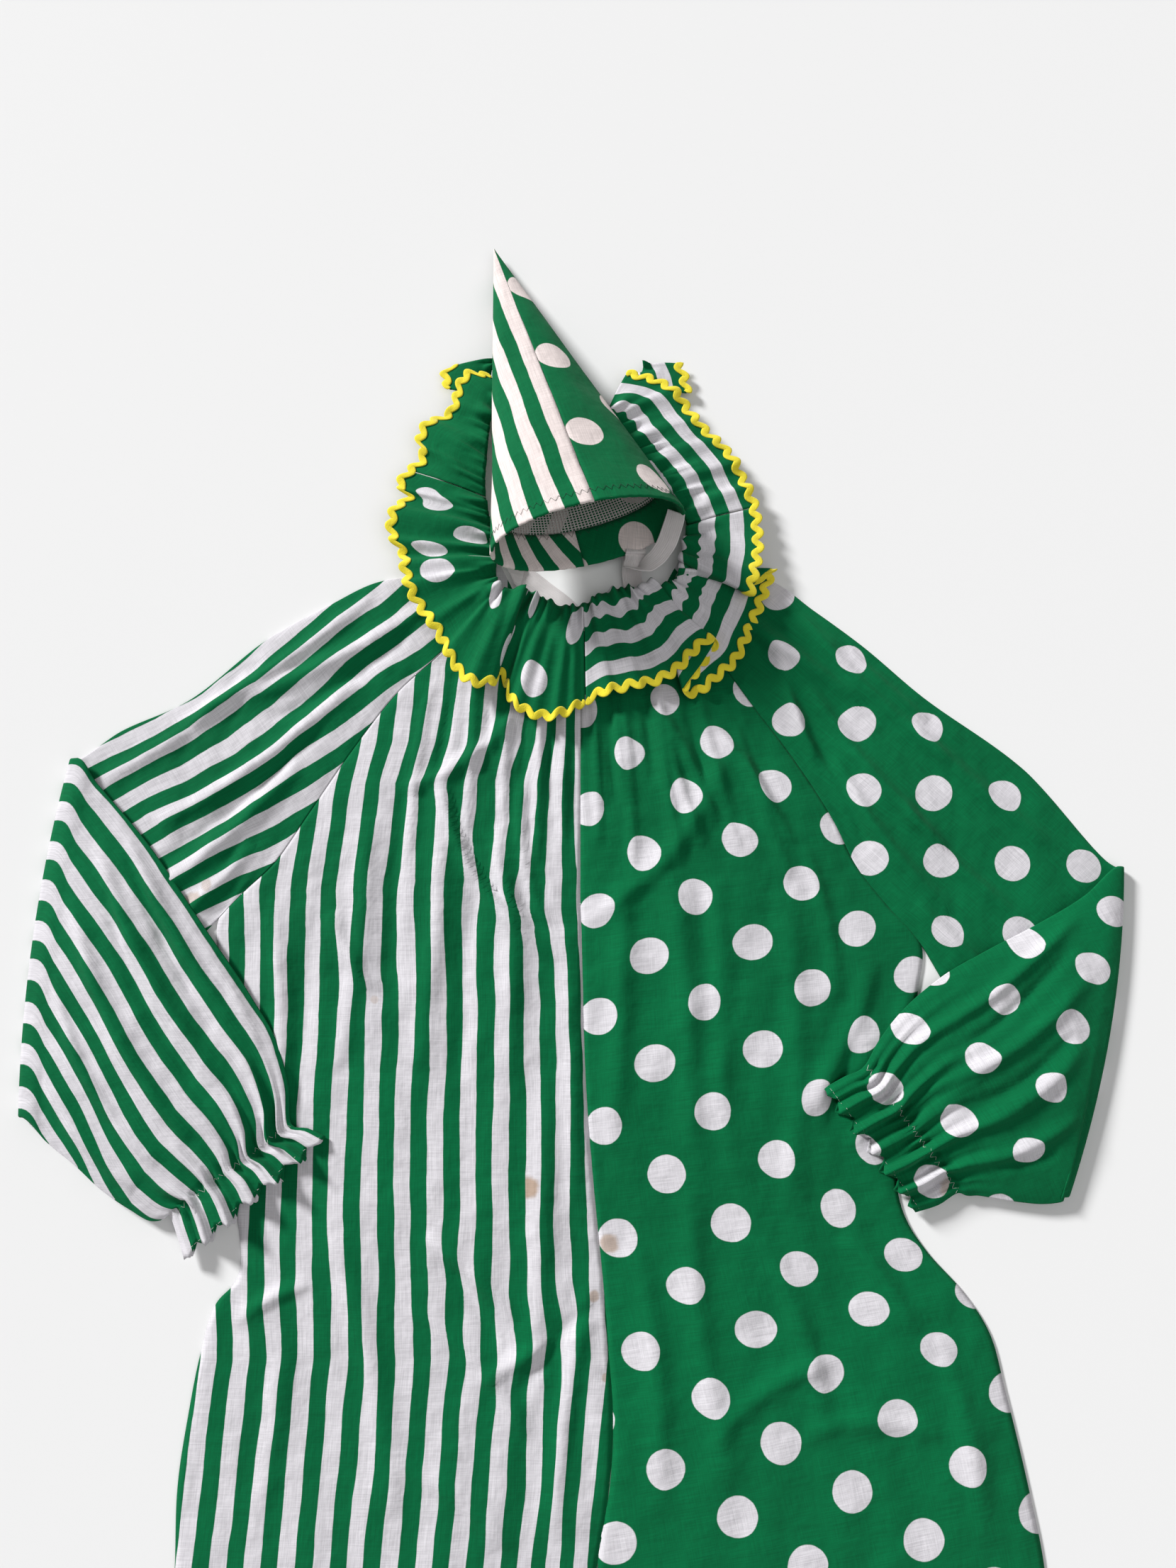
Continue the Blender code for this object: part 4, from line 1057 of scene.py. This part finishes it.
sleeve_stripe = sleeve(
    "sleeve_striped_cloth",
    *sleeve_sides(STRIPE_SIDE, STRIPE_SHOULDER, STRIPE_UPPER, STRIPE_CREASE, STRIPE_LOWER),
    STRIPE_UPPER_CREASES, STRIPE_LOWER_CREASES, upper_stripe_cut, lower_stripe_cut, striped, True,
)
sleeve_dot = sleeve(
    "sleeve_dotted_cloth",
    *sleeve_sides(DOT_SIDE, DOT_SHOULDER, DOT_UPPER, DOT_CREASE, DOT_LOWER),
    DOT_UPPER_CREASES, DOT_LOWER_CREASES, upper_dot_cut, lower_dot_cut, dotted, False,
)


# ---------------------------------------------------------------- collar
COLLAR_STEP = 0.0028
COLLAR_COLUMNS = 34
GATHER_SPACING = 0.0098      # from tuck to tuck along the neck seam


def gather_relief(along, share):
    """Short tucks that fan out from the gathered edge, uneven in spacing, height and length."""
    total = np.zeros_like(share)
    last = int(along.max() / GATHER_SPACING) + 2
    for number in range(last):
        wobble = math.sin(number * 2.4) + 0.6 * math.sin(number * 5.1)
        place = number * GATHER_SPACING + 0.0022 * wobble
        reach = 0.50 + 0.18 * math.sin(number * 1.7) + 0.14 * math.sin(number * 3.9)
        height = 0.0062 + 0.0024 * math.sin(number * 2.9)
        half = 0.0026 + 0.0008 * math.sin(number * 4.3)
        spread = half * (1.0 + 1.2 * share)
        total += height * hump(along - place, spread) * (1.0 - ease(share / reach))
        total += 0.35 * height * hump(along - place, 1.6 * spread) * (1.0 - ease(share / 0.95))
    return total


def collar_rows(table):
    """A ruffle's table as fine rows."""
    rows = np.array(table, dtype=float)
    return smooth(rows, steps_for(rows.reshape(len(rows), 2, 3), COLLAR_STEP))


def between_edges(neck, hem, shares):
    """Places between the gathered edge and the hem, over a straight line by the ruffle's bulge."""
    neck, hem, shares = placed(neck), placed(hem), shares[..., None]
    points = neck + (hem - neck) * shares
    inside = np.clip(shares, 0.0, 1.0)
    points[..., 2:] += COLLAR_BULGE * 4.0 * inside * (1.0 - inside) + COLLAR_LIFT
    return points


def collar_surface(rows, shares):
    """Points of the ruffle: rows from the centre front outward, shares from the neck to the hem."""
    shares = np.broadcast_to(shares, (len(rows), len(shares)))
    return between_edges(rows[:, None, :3], rows[:, None, 3:], shares)


def run_lengths(line):
    """How far along a line each of its points is."""
    return np.concatenate([[0.0], np.cumsum(np.linalg.norm(np.diff(line, axis=0), axis=1))])


# Folds of the ruffle: where along the hem, half width on each side, height; one side is steeper
DOT_FOLDS = metres(
    (14, 6, 5, 3), (32, 8, 4, 4.4), (52, 6, 6, 3), (72, 10, 5, 5.8), (92, 8, 6, 3.4), (172, 10, 8, 4.4),
    (212, 14, 5, 5), (246, 8, 8, 3.6), (290, 16, 5, 6), (315, 8, 5, 3.6), (341, 14, 5, 4.8),
    (377, 12, 5, 3.4), (405, 10, 5, 3.2),
)
DOT_BACK_FOLDS = metres(
    (30, 14, 5, 4.4), (62, 12, 6, 3.6), (95, 10, 5, 3),
)
STRIPE_FOLDS = metres(
    (24, 8, 5, 3.4), (52, 10, 5, 4.6), (80, 7, 6, 3.8), (108, 6, 5, 3), (205, 6, 5, 3),
    (228, 6, 6, 3.4), (250, 10, 8, 3), (285, 8, 12, 2.6), (385, 10, 6, 3.4), (415, 6, 10, 3),
    (440, 10, 6, 2.8),
)
STRIPE_BACK_FOLDS = metres(
    (22, 10, 5, 4.6), (50, 6, 8, 3.8), (82, 10, 6, 3.4), (112, 6, 10, 2.6), (150, 10, 6, 2.8),
)


def fold_relief(run, folds):
    """Height that the ruffle's folds add at distances along its hem."""
    total = np.zeros_like(run)
    for place, before, after, height in folds:
        apart = run - place
        total += height * hump(apart, np.where(apart < 0.0, before, after))
    return total


def collar_piece(name, table, cut, look, start, folds, neck_start=0.0):
    """One piece of the ruffle; the starts are the lengths of hem and neck before it."""
    rows = collar_rows(table)
    shares = np.linspace(0.0, 1.0, COLLAR_COLUMNS) ** 0.85
    points = collar_surface(rows, shares)
    hem_run = run_lengths(rows[:, 3:])
    neck_run = neck_start + run_lengths(rows[:, :3])
    grid_share = np.broadcast_to(shares, points.shape[:2])
    along = np.broadcast_to(neck_run[:, None], points.shape[:2])
    out = normals(points)
    if out[..., 2].mean() < 0.0:
        out = -out
    points = points + out * gather_relief(along, grid_share)[..., None]
    folded = fold_relief(start + hem_run, folds)[:, None]
    points[..., 2] += folded * ease((grid_share - 0.04) / 0.45)
    width = np.linalg.norm(rows[:, 3:5] - rows[:, :2], axis=1)[:, None]
    from_hem = (1.0 - grid_share) * width
    coordinates = cut(np.broadcast_to((start + hem_run)[:, None], points.shape[:2]), from_hem)
    return cloth_piece(name, points, coordinates, look)


COLLAR_WAVER = 0.0034        # how far the gathers shift a band near the neck
STRIPE_COLLAR_START = 0.0125    # from the hem to the edge of the first white band


def collar_stripe_cut(along, from_hem):
    """Bands run round the neck, counted from the hem; near the neck the gathers shift them to and fro."""
    gathered = np.sin(along * 250.0 + 1.2 * np.sin(along * 57.0)) * ease((from_hem - 0.015) / 0.08)
    gathered = gathered * (0.65 + 0.35 * np.sin(along * 31.0))
    return np.stack([from_hem - STRIPE_COLLAR_START + COLLAR_WAVER * gathered, along], -1)


COLLAR_DOT_ROW = 0.030       # from the hem to the first row of dots
DOT_COLUMN_PITCH = 0.097
DOT_COLLAR_TAKE = metres(
    # distance along the hem as it lies, and along the cloth, some of which is hidden in folds
    (0, -62), (62, 0), (105, 48.5), (150, 212.5), (215, 242.5), (283, 274.5), (300, 291),
    (318.5, 309.5), (319.3, 369.5), (335, 388), (357, 436.5), (385, 468), (400, 485), (425, 510),
    (432, 517), (447, 502), (462, 517), (477, 502), (535, 560), (593, 502), (650, 560),
)


def collar_dot_cut(along, from_hem):
    """Dots on a lattice that stands on its corner, along the cloth as the table says."""
    u = table_column(DOT_COLLAR_TAKE, 1, along) / DOT_COLUMN_PITCH
    v = (from_hem - COLLAR_DOT_ROW) / DOT_COLUMN_PITCH
    return np.stack([u + v, u - v], -1) * DOT_SIDE_LENGTH


RICKRACK_WAVE = 0.0160
RICKRACK_HALF = 0.0033       # half of the tape's own width
RICKRACK_SWING = 0.0030
RICKRACK_LIFT = 0.0007       # over the ruffle's own middle
RICKRACK_CROWN = 0.0005      # how much the tape's middle stands over its edges
RICKRACK_WALL = 0.0009
RICKRACK_SAMPLES = 22        # to each wave


def tape_cut(run, across):
    """Cloth coordinates of a long tape: its run and the place across it."""
    return np.stack(np.meshgrid(run, across, indexing="ij"), -1)


def rickrack_piece(name, table, folds):
    """The zigzag tape that is sewn along the hem."""
    rows = collar_rows(table)
    run = run_lengths(rows[:, 3:])
    samples = int(run[-1] / RICKRACK_WAVE * RICKRACK_SAMPLES)
    places = np.linspace(0.0, run[-1], samples)
    phase = 2.0 * np.pi * places / RICKRACK_WAVE
    swing = RICKRACK_SWING * np.sin(phase)
    slope = 2.0 * np.pi * RICKRACK_SWING / RICKRACK_WAVE * np.cos(phase)
    tilt = np.sqrt(1.0 + slope ** 2)
    widths = np.linspace(-1.0, 1.0, 7)
    reach = widths[None, :] * RICKRACK_HALF
    at = np.clip(places[:, None] - reach * (slope / tilt)[:, None], 0.0, run[-1])
    offset = swing[:, None] + reach / tilt[:, None]
    fine = np.stack([np.interp(at, run, rows[:, column]) for column in range(6)], -1)
    size = np.linalg.norm(fine[..., 3:5] - fine[..., :2], axis=-1)
    shares = 1.0 + offset / size
    points = between_edges(fine[..., :3], fine[..., 3:], shares)
    base = collar_surface(fine[:, 3], np.array([0.9, 1.0]))
    upward = unit(np.cross(np.gradient(base[:, 1], axis=0), base[:, 1] - base[:, 0]))
    if upward[:3, 2].mean() < 0.0:
        upward = -upward
    crown = (1.0 - widths ** 2)[None, :, None] * RICKRACK_CROWN
    points = points + upward[:, None, :] * (RICKRACK_LIFT + crown)
    points[..., 2] += fold_relief(at, folds)
    coordinates = tape_cut(places, widths * RICKRACK_HALF)
    tape = cloth_piece(name, points, coordinates, yellow, wall=RICKRACK_WALL)
    return tape


def later(folds, run):
    """The same folds, counted from further along the hem."""
    return tuple((place + run, before, after, height) for place, before, after, height in folds)


def edge_runs(table):
    """The lengths of a ruffle piece's hem and of its gathered edge."""
    rows = collar_rows(table)
    return run_lengths(rows[:, 3:])[-1], run_lengths(rows[:, :3])[-1]


DOT_END_START = 0.535        # where the dotted end's print goes on
dot_hem, dot_neck = edge_runs(DOT_COLLAR_FRONT)
stripe_hem, stripe_neck = edge_runs(STRIPE_COLLAR_FRONT)
dot_folds = DOT_FOLDS + later(DOT_BACK_FOLDS, dot_hem)
stripe_folds = STRIPE_FOLDS + later(STRIPE_BACK_FOLDS, stripe_hem)
dot_print, stripe_print = (collar_dot_cut, dotted), (collar_stripe_cut, striped)
collar_dot_front = collar_piece("ruffle_dotted_front", DOT_COLLAR_FRONT, *dot_print, 0.0, dot_folds)
collar_dot_back = collar_piece(
    "ruffle_dotted_back", DOT_COLLAR_BACK, *dot_print, dot_hem, dot_folds, dot_neck)
collar_stripe_front = collar_piece(
    "ruffle_striped_front", STRIPE_COLLAR_FRONT, *stripe_print, 0.0, stripe_folds)
collar_stripe_back = collar_piece(
    "ruffle_striped_back", STRIPE_COLLAR_BACK, *stripe_print, stripe_hem, stripe_folds, stripe_neck)
tape_dot = rickrack_piece("rickrack_tape_left", DOT_COLLAR_FRONT + DOT_COLLAR_BACK[1:], dot_folds)
tape_stripe = rickrack_piece(
    "rickrack_tape_right", STRIPE_COLLAR_FRONT + STRIPE_COLLAR_BACK[1:], stripe_folds)
end_dot = collar_piece("ruffle_dotted_end", DOT_END, *dot_print, DOT_END_START, ())
end_stripe = collar_piece("ruffle_striped_end", STRIPE_END, *stripe_print, 0.0, ())
end_tape_dot = rickrack_piece("rickrack_end_left", DOT_END, ())
end_tape_stripe = rickrack_piece("rickrack_end_right", STRIPE_END, ())


# ---------------------------------------------------------------- hat
HAT_ROWS = 90
HAT_COLUMNS = 60
HAT_LENGTH = (HAT_RIM_CENTRE - HAT_APEX).length
# Soft dents of the cone: share of the length, turn round the axis, half length, half turn, depth
HAT_DENTS = (
    (0.4, 1.1, 0.1, 0.3, 0.0016), (0.62, 0.7, 0.12, 0.35, 0.002), (0.8, 1.9, 0.1, 0.35, 0.0018),
    (0.55, 2.4, 0.14, 0.3, 0.002), (0.75, -0.3, 0.12, 0.4, 0.0022), (0.45, 3.4, 0.14, 0.4, 0.002),
    (0.85, 4.2, 0.1, 0.45, 0.002), (0.6, -1.2, 0.14, 0.4, 0.0018), (0.92, 1.3, 0.05, 0.22, 0.0012),
    (0.9, 2.6, 0.05, 0.25, 0.0012),
)


def cone_points(along, turn, inset):
    """Points of the hat's cone, at an inset from its outside."""
    apex, rim = np.array(HAT_APEX), np.array(HAT_RIM_CENTRE)
    side, up = np.array(HAT_SIDE), np.array(HAT_UP)
    along, turn, inset = (np.asarray(value)[..., None] for value in (along, turn, inset))
    centre = apex + (rim - apex) * along
    points = centre + side * np.cos(turn) * np.maximum(HAT_HALF_WIDTH * along - inset, 0.0004)
    points = points + up * np.sin(turn) * np.maximum(HAT_HALF_HEIGHT * along - inset, 0.0004)
    return placed(points)


def hat_relief(along, turn):
    """Depth of the cone's dents."""
    total = 0.0 * along
    for place, middle, half, half_turn, depth in HAT_DENTS:
        total = total + depth * hump(along - place, half) * hump(turn - middle, half_turn)
    return total


def rim_run(turn):
    """Distance along the rim from the front seam, which is at a quarter turn."""
    turns = np.linspace(-math.pi, 2.0 * math.pi, 3001)
    speed = np.hypot(HAT_HALF_WIDTH * np.sin(turns), HAT_HALF_HEIGHT * np.cos(turns))
    run = np.concatenate([[0.0], np.cumsum((speed[1:] + speed[:-1]) / 2.0 * np.diff(turns))])
    return np.interp(turn, turns, run) - np.interp(math.pi / 2.0, turns, run)


def cone_cut(along, turn):
    """The flat cloth: distance across from the front seam's line, and distance down from the tip."""
    reach = along * HAT_LENGTH
    angle = rim_run(turn) / HAT_LENGTH
    return reach * np.sin(angle), reach * np.cos(angle)


HAT_DOT = (0.017, 0.168)     # where one dot lies across and down from the front seam and tip
HAT_DOT_PITCH = 0.106


def hat_stripe_cut(along, turn):
    """A white band lies beside the front seam."""
    across, down = cone_cut(along, turn)
    return np.stack([across + STRIPE_PERIOD / 2.0, down], -1)


def hat_dot_cut(along, turn):
    across, down = cone_cut(along, turn)
    u, v = (across - HAT_DOT[0]) / HAT_DOT_PITCH, (down - HAT_DOT[1]) / HAT_DOT_PITCH
    return np.stack([u + v, v - u], -1) * DOT_SIDE_LENGTH


HAT_ROLL = (
    # share of the length, inset: round the rim's edge
    (0.9965, 0.0002), (0.9990, 0.0007), (1.0000, 0.0014), (0.9990, 0.0022), (0.9965, 0.0028),
)
FACING_ROWS = 9
FACING_INSET = 0.0032
SEAM_TURN = 0.0012           # half of the gap at a seam, in radians
QUARTER = math.pi / 2.0


def hat_half(name, first, last, cut, look):
    """Half of the cone, from its tip to the rim and on into the turned-in hem."""
    outside = np.linspace(0.004, 0.992, HAT_ROWS)
    roll, roll_inset = zip(*HAT_ROLL)
    along = np.concatenate([outside, roll, np.linspace(0.990, HAT_FACING, FACING_ROWS)])
    inset = np.concatenate([
        np.full(HAT_ROWS, CLOTH / 2.0), roll_inset, np.full(FACING_ROWS, FACING_INSET),
    ])
    turn = np.linspace(first + SEAM_TURN, last - SEAM_TURN, HAT_COLUMNS)
    grid_along, grid_turn = np.meshgrid(along, turn, indexing="ij")
    is_out = (np.arange(len(along)) < HAT_ROWS)[:, None]
    dents = hat_relief(grid_along, grid_turn) * np.where(is_out, 1.0, 0.8)
    puckers = 0.0004 * np.sin(grid_turn * 70.0 + 2.0 * np.sin(grid_turn * 11.0))
    puckers = puckers * ease((grid_along - 0.93) / 0.05)
    points = cone_points(grid_along, grid_turn, inset[:, None] + dents + puckers)
    folded = np.where(is_out, grid_along, 2.0 - grid_along)
    return cloth_piece(name, points, cut(folded, grid_turn), look)


hat_stripe = hat_half("hat_striped_half", -QUARTER, QUARTER, hat_stripe_cut, striped_hat)
hat_dot = hat_half("hat_dotted_half", QUARTER, 3.0 * QUARTER, hat_dot_cut, dotted_hat)

NET_CELLS_ALONG = 78
NET_CELLS_ROUND = 150
NET_FIRST, NET_LAST = 0.42, 0.985
NET_HOLE = 0.62              # share of a cell's side that is open
NET_INSET = 0.0020


def net_piece():
    """Stiff net lining: a lattice of flat bars with square holes."""
    rows, columns = NET_CELLS_ALONG, NET_CELLS_ROUND
    margin = (1.0 - NET_HOLE) / 2.0
    outer_row, outer_column = np.mgrid[0:rows + 1, 0:columns]
    hole_row, hole_column, spot = np.mgrid[0:rows, 0:columns, 0:4]
    hole_row = hole_row + np.array([margin, margin, 1 - margin, 1 - margin])[spot]
    hole_column = hole_column + np.array([margin, 1 - margin, 1 - margin, margin])[spot]
    row = np.concatenate([outer_row.ravel(), hole_row.ravel()])
    column = np.concatenate([outer_column.ravel(), hole_column.ravel()])
    along = NET_FIRST + (NET_LAST - NET_FIRST) * row / rows
    turn = 2.0 * math.pi * column / columns
    wrapped = np.where(turn > 3.0 * QUARTER, turn - 2.0 * math.pi, turn)
    points = cone_points(along, turn, NET_INSET + hat_relief(along, wrapped))
    faces = []
    for number, outer in enumerate(grid_faces(rows + 1, columns, closed=True).tolist()):
        hole = (rows + 1) * columns + number * 4
        for k in range(4):
            n = (k + 1) % 4
            faces.append((outer[k], outer[n], hole + n, hole + k))
    return mesh_piece("hat_net_lining", points, faces, net_look)


net = net_piece()


# ---------------------------------------------------------------- chin elastic
ELASTIC_WALL = 0.0008
RIB_HEIGHT = 0.00016
RIBS = 10


def elastic_piece():
    """A ribbed band that follows its route; the ribs run along it."""
    route = smooth(np.array(ELASTIC_ROUTE), 9)
    widths = np.linspace(-1.0, 1.0, 41)
    across = widths * ELASTIC_WIDTH / 2.0
    points = placed(route[:, None, :3]) + unit(route[:, None, 3:]) * across[None, :, None]
    ribs = RIB_HEIGHT * np.cos(widths * math.pi * RIBS)
    points = points + normals(points) * ribs[None, :, None]
    coordinates = tape_cut(run_lengths(route[:, :3]), across)
    return cloth_piece("chin_elastic_band", points, coordinates, ribbed, wall=ELASTIC_WALL)


band = elastic_piece()


# ---------------------------------------------------------------- sewing
def laid_line(surface, places, lift=0.0002):
    """Points on a surface over table places, left out where nothing lies below them."""
    line = [on_top(surface, x, y, lift) for x, y in places]
    return [point for point in line if point is not None]


def between(first, last, steps):
    """Places on the straight line from first to last."""
    return np.linspace(first, last, steps + 1)


def stitch_run(surface, places, long, gap=0.0012):
    """Straight stitches along a line of table places."""
    run = run_lengths(places)
    stitches = []
    spot = gap
    while spot + long < run[-1]:
        marks = np.linspace(spot, spot + long, 4)
        line = np.stack([np.interp(marks, run, places[:, axis]) for axis in (0, 1)], -1)
        stitches.append(laid_line(surface, line))
        spot += long + gap
    return stitches


def zigzag_run(surface, places, swing, wave):
    """A zigzag line of thread across a straight line of table places."""
    length = run_lengths(places)[-1]
    marks = int(length / wave * 2.0) * 2
    way = unit(places[-1] - places[0])
    made = []
    for k in range(marks + 1):
        side = swing * (0.0 if k % 2 else (1.0 if k % 4 == 0 else -1.0))
        x, y = places[0] + way * length * k / marks
        made.append((x - way[1] * side, y + way[0] * side))
    return [laid_line(surface, made, 0.0003)]


LEG_HEM = 0.022              # from the leg's edge to its stitches
CUFF_STITCH_SHARE = 0.80     # of the way from the row before the cuff's edge to the edge
white_lines = []
for rows, front in ((STRIPE_LEG, front_stripe), (DOT_LEG, front_dot)):
    side_x, side_y, centre_x, centre_y = rows[-1]
    hem_line = between((side_x, side_y + LEG_HEM), (centre_x, centre_y + LEG_HEM), 60)
    white_lines += stitch_run(surface_of(front), hem_line, 0.0028)
for table, tube in ((STRIPE_LOWER, sleeve_stripe), (DOT_LOWER, sleeve_dot)):
    surface = surface_of(tube)
    gathered, before, edge = np.array(table)[-3:, :4]
    stitched = before + (edge - before) * CUFF_STITCH_SHARE
    white_lines += stitch_run(surface, between(stitched[:2], stitched[2:], 40), 0.0026)
    white_lines += zigzag_run(surface, between(gathered[:2], gathered[2:], 40), 0.0022, 0.0052)
threads("white_seam_stitches", white_lines, 0.00018, white_thread)


def cone_zigzag(first, last, waves, shares, inset, dented=1.0):
    """A zigzag of thread round the hat, between two shares of its length."""
    line = []
    for k in range(waves + 1):
        turn = first + (last - first) * k / waves
        along = shares[k % 2]
        line.append(cone_points(along, turn, inset + dented * hat_relief(along, turn)))
    return line


RIM_ZIGZAG = (0.9580, 0.9720)
FACING_ZIGZAG = (0.898, 0.916)
hat_lines = [
    cone_zigzag(-0.5 * QUARTER, QUARTER, 58, RIM_ZIGZAG, -0.0003),
    cone_zigzag(QUARTER, 2.5 * QUARTER, 58, RIM_ZIGZAG, -0.0003),
    cone_zigzag(-QUARTER, 3.0 * QUARTER, 120, FACING_ZIGZAG, 0.0040, 0.8),
]
threads("hat_zigzag_stitches", hat_lines, 0.00022, dark_thread)


SHEETS = (
    # piece, CAD node it stands for, print, flat width, flat length, held, rests on, sewn to it
    (front_stripe, "front_stripe", "striped", 0.370, 1.590, "laid", ("suit_back_striped",), ()),
    (front_dot, "front_dot", "dotted", 0.370, 1.590, "laid", ("suit_back_dotted",), ()),
    (back_stripe, "back_stripe", "striped", 0.380, 1.800, "laid", (), ()),
    (back_dot, "back_dot", "dotted", 0.380, 1.800, "laid", (), ()),
    (sleeve_stripe, "sleeve_stripe", "striped", 0.760, 0.760, "folded", ("suit_back_striped",), ()),
    (sleeve_dot, "sleeve_dot", "dotted", 0.700, 0.760, "folded", ("suit_back_dotted",), ()),
    (collar_dot_front, "collar_dot_front", "dotted", 0.102, 0.560, "gathered",
     ("suit_front_dotted",), (tape_dot,)),
    (collar_dot_back, "collar_dot_back", "dotted", 0.102, 0.200, "gathered",
     ("suit_back_striped",), (end_dot, end_tape_dot)),
    (collar_stripe_front, "collar_stripe_front", "striped", 0.102, 0.560, "gathered",
     ("suit_front_dotted",), (tape_stripe,)),
    (collar_stripe_back, "collar_stripe_back", "striped", 0.102, 0.250, "gathered",
     ("suit_back_dotted",), (end_stripe, end_tape_stripe)),
    (hat_stripe, "hat_stripe", "striped", 0.250, 0.400, "stretched", ("hat_net_lining",), ()),
    (hat_dot, "hat_dot", "dotted", 0.250, 0.400, "stretched", ("hat_net_lining",), ()),
    (band, "hat_elastic", "elastic", ELASTIC_WIDTH, 0.460, "draped", ("suit_back_dotted",), ()),
    (net, "hat_net", "net", 0.500, 0.215, "stretched", ("hat_dotted_half",), ()),
)
for piece, node, kind, width, length, held, rests, sewn in SHEETS:
    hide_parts(node)
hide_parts("rickrack_dot")
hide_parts("rickrack_stripe")


# ---------------------------------------------------------------- floor, light and camera
FLOOR_SIZE = 12.0
FLOOR_GREY = 0.86
FLOOR_DROP = 0.0002          # keeps the floor from coinciding with the cloth that lies on it


def floor():
    """A plain pale floor."""
    mesh = bpy.data.meshes.new("floor")
    half = FLOOR_SIZE / 2.0
    corners = [(-half, -half, 0), (half, -half, 0), (half, half, 0), (-half, half, 0)]
    mesh.from_pydata(corners, [], [(0, 1, 2, 3)])
    look = bpy.data.materials.new("pale_floor")
    look.use_nodes = True
    shader = look.node_tree.nodes["Principled BSDF"]
    shader.inputs["Base Color"].default_value = (FLOOR_GREY, FLOOR_GREY, FLOOR_GREY, 1.0)
    shader.inputs["Roughness"].default_value = 0.9
    mesh.materials.append(look)
    made = bpy.data.objects.new("floor", mesh)
    made.location.z = -FLOOR_DROP
    bpy.context.scene.collection.objects.link(made)


def sun(name, towards, softness, power):
    """An even light from one side; softness is how wide it looks, in degrees."""
    lamp = bpy.data.lights.new(name, "SUN")
    lamp.angle = math.radians(softness)
    lamp.energy = power
    made = bpy.data.objects.new(name, lamp)
    made.rotation_euler = Vector(towards).to_track_quat("Z", "Y").to_euler()
    bpy.context.scene.collection.objects.link(made)


floor()
sun("key", towards=(-1.0, 0.85, 0.62), softness=12.0, power=4.4)
sun("fill", towards=(0.5, -0.4, 1.0), softness=60.0, power=0.7)
world = bpy.data.worlds.new("studio")
world.use_nodes = True
background = world.node_tree.nodes["Background"]
background.inputs["Color"].default_value = (1.0, 1.0, 1.0, 1.0)
background.inputs["Strength"].default_value = 0.24
bpy.context.scene.world = world
bpy.context.scene.view_settings.view_transform = "Standard"

SENSOR = 36.0                # of the long side, in millimetres, as is the lens
LENS = 27.03
CAMERA_PLACE = (0.0062, 0.1915, 1.083)
CAMERA_TILT = 12.0           # degrees from straight down
lens = bpy.data.cameras.new("camera")
lens.sensor_width = SENSOR
lens.lens = LENS
camera = bpy.data.objects.new("camera", lens)
camera.location = CAMERA_PLACE
camera.rotation_euler = (math.radians(CAMERA_TILT), 0.0, 0.0)
bpy.context.scene.collection.objects.link(camera)
bpy.context.scene.camera = camera
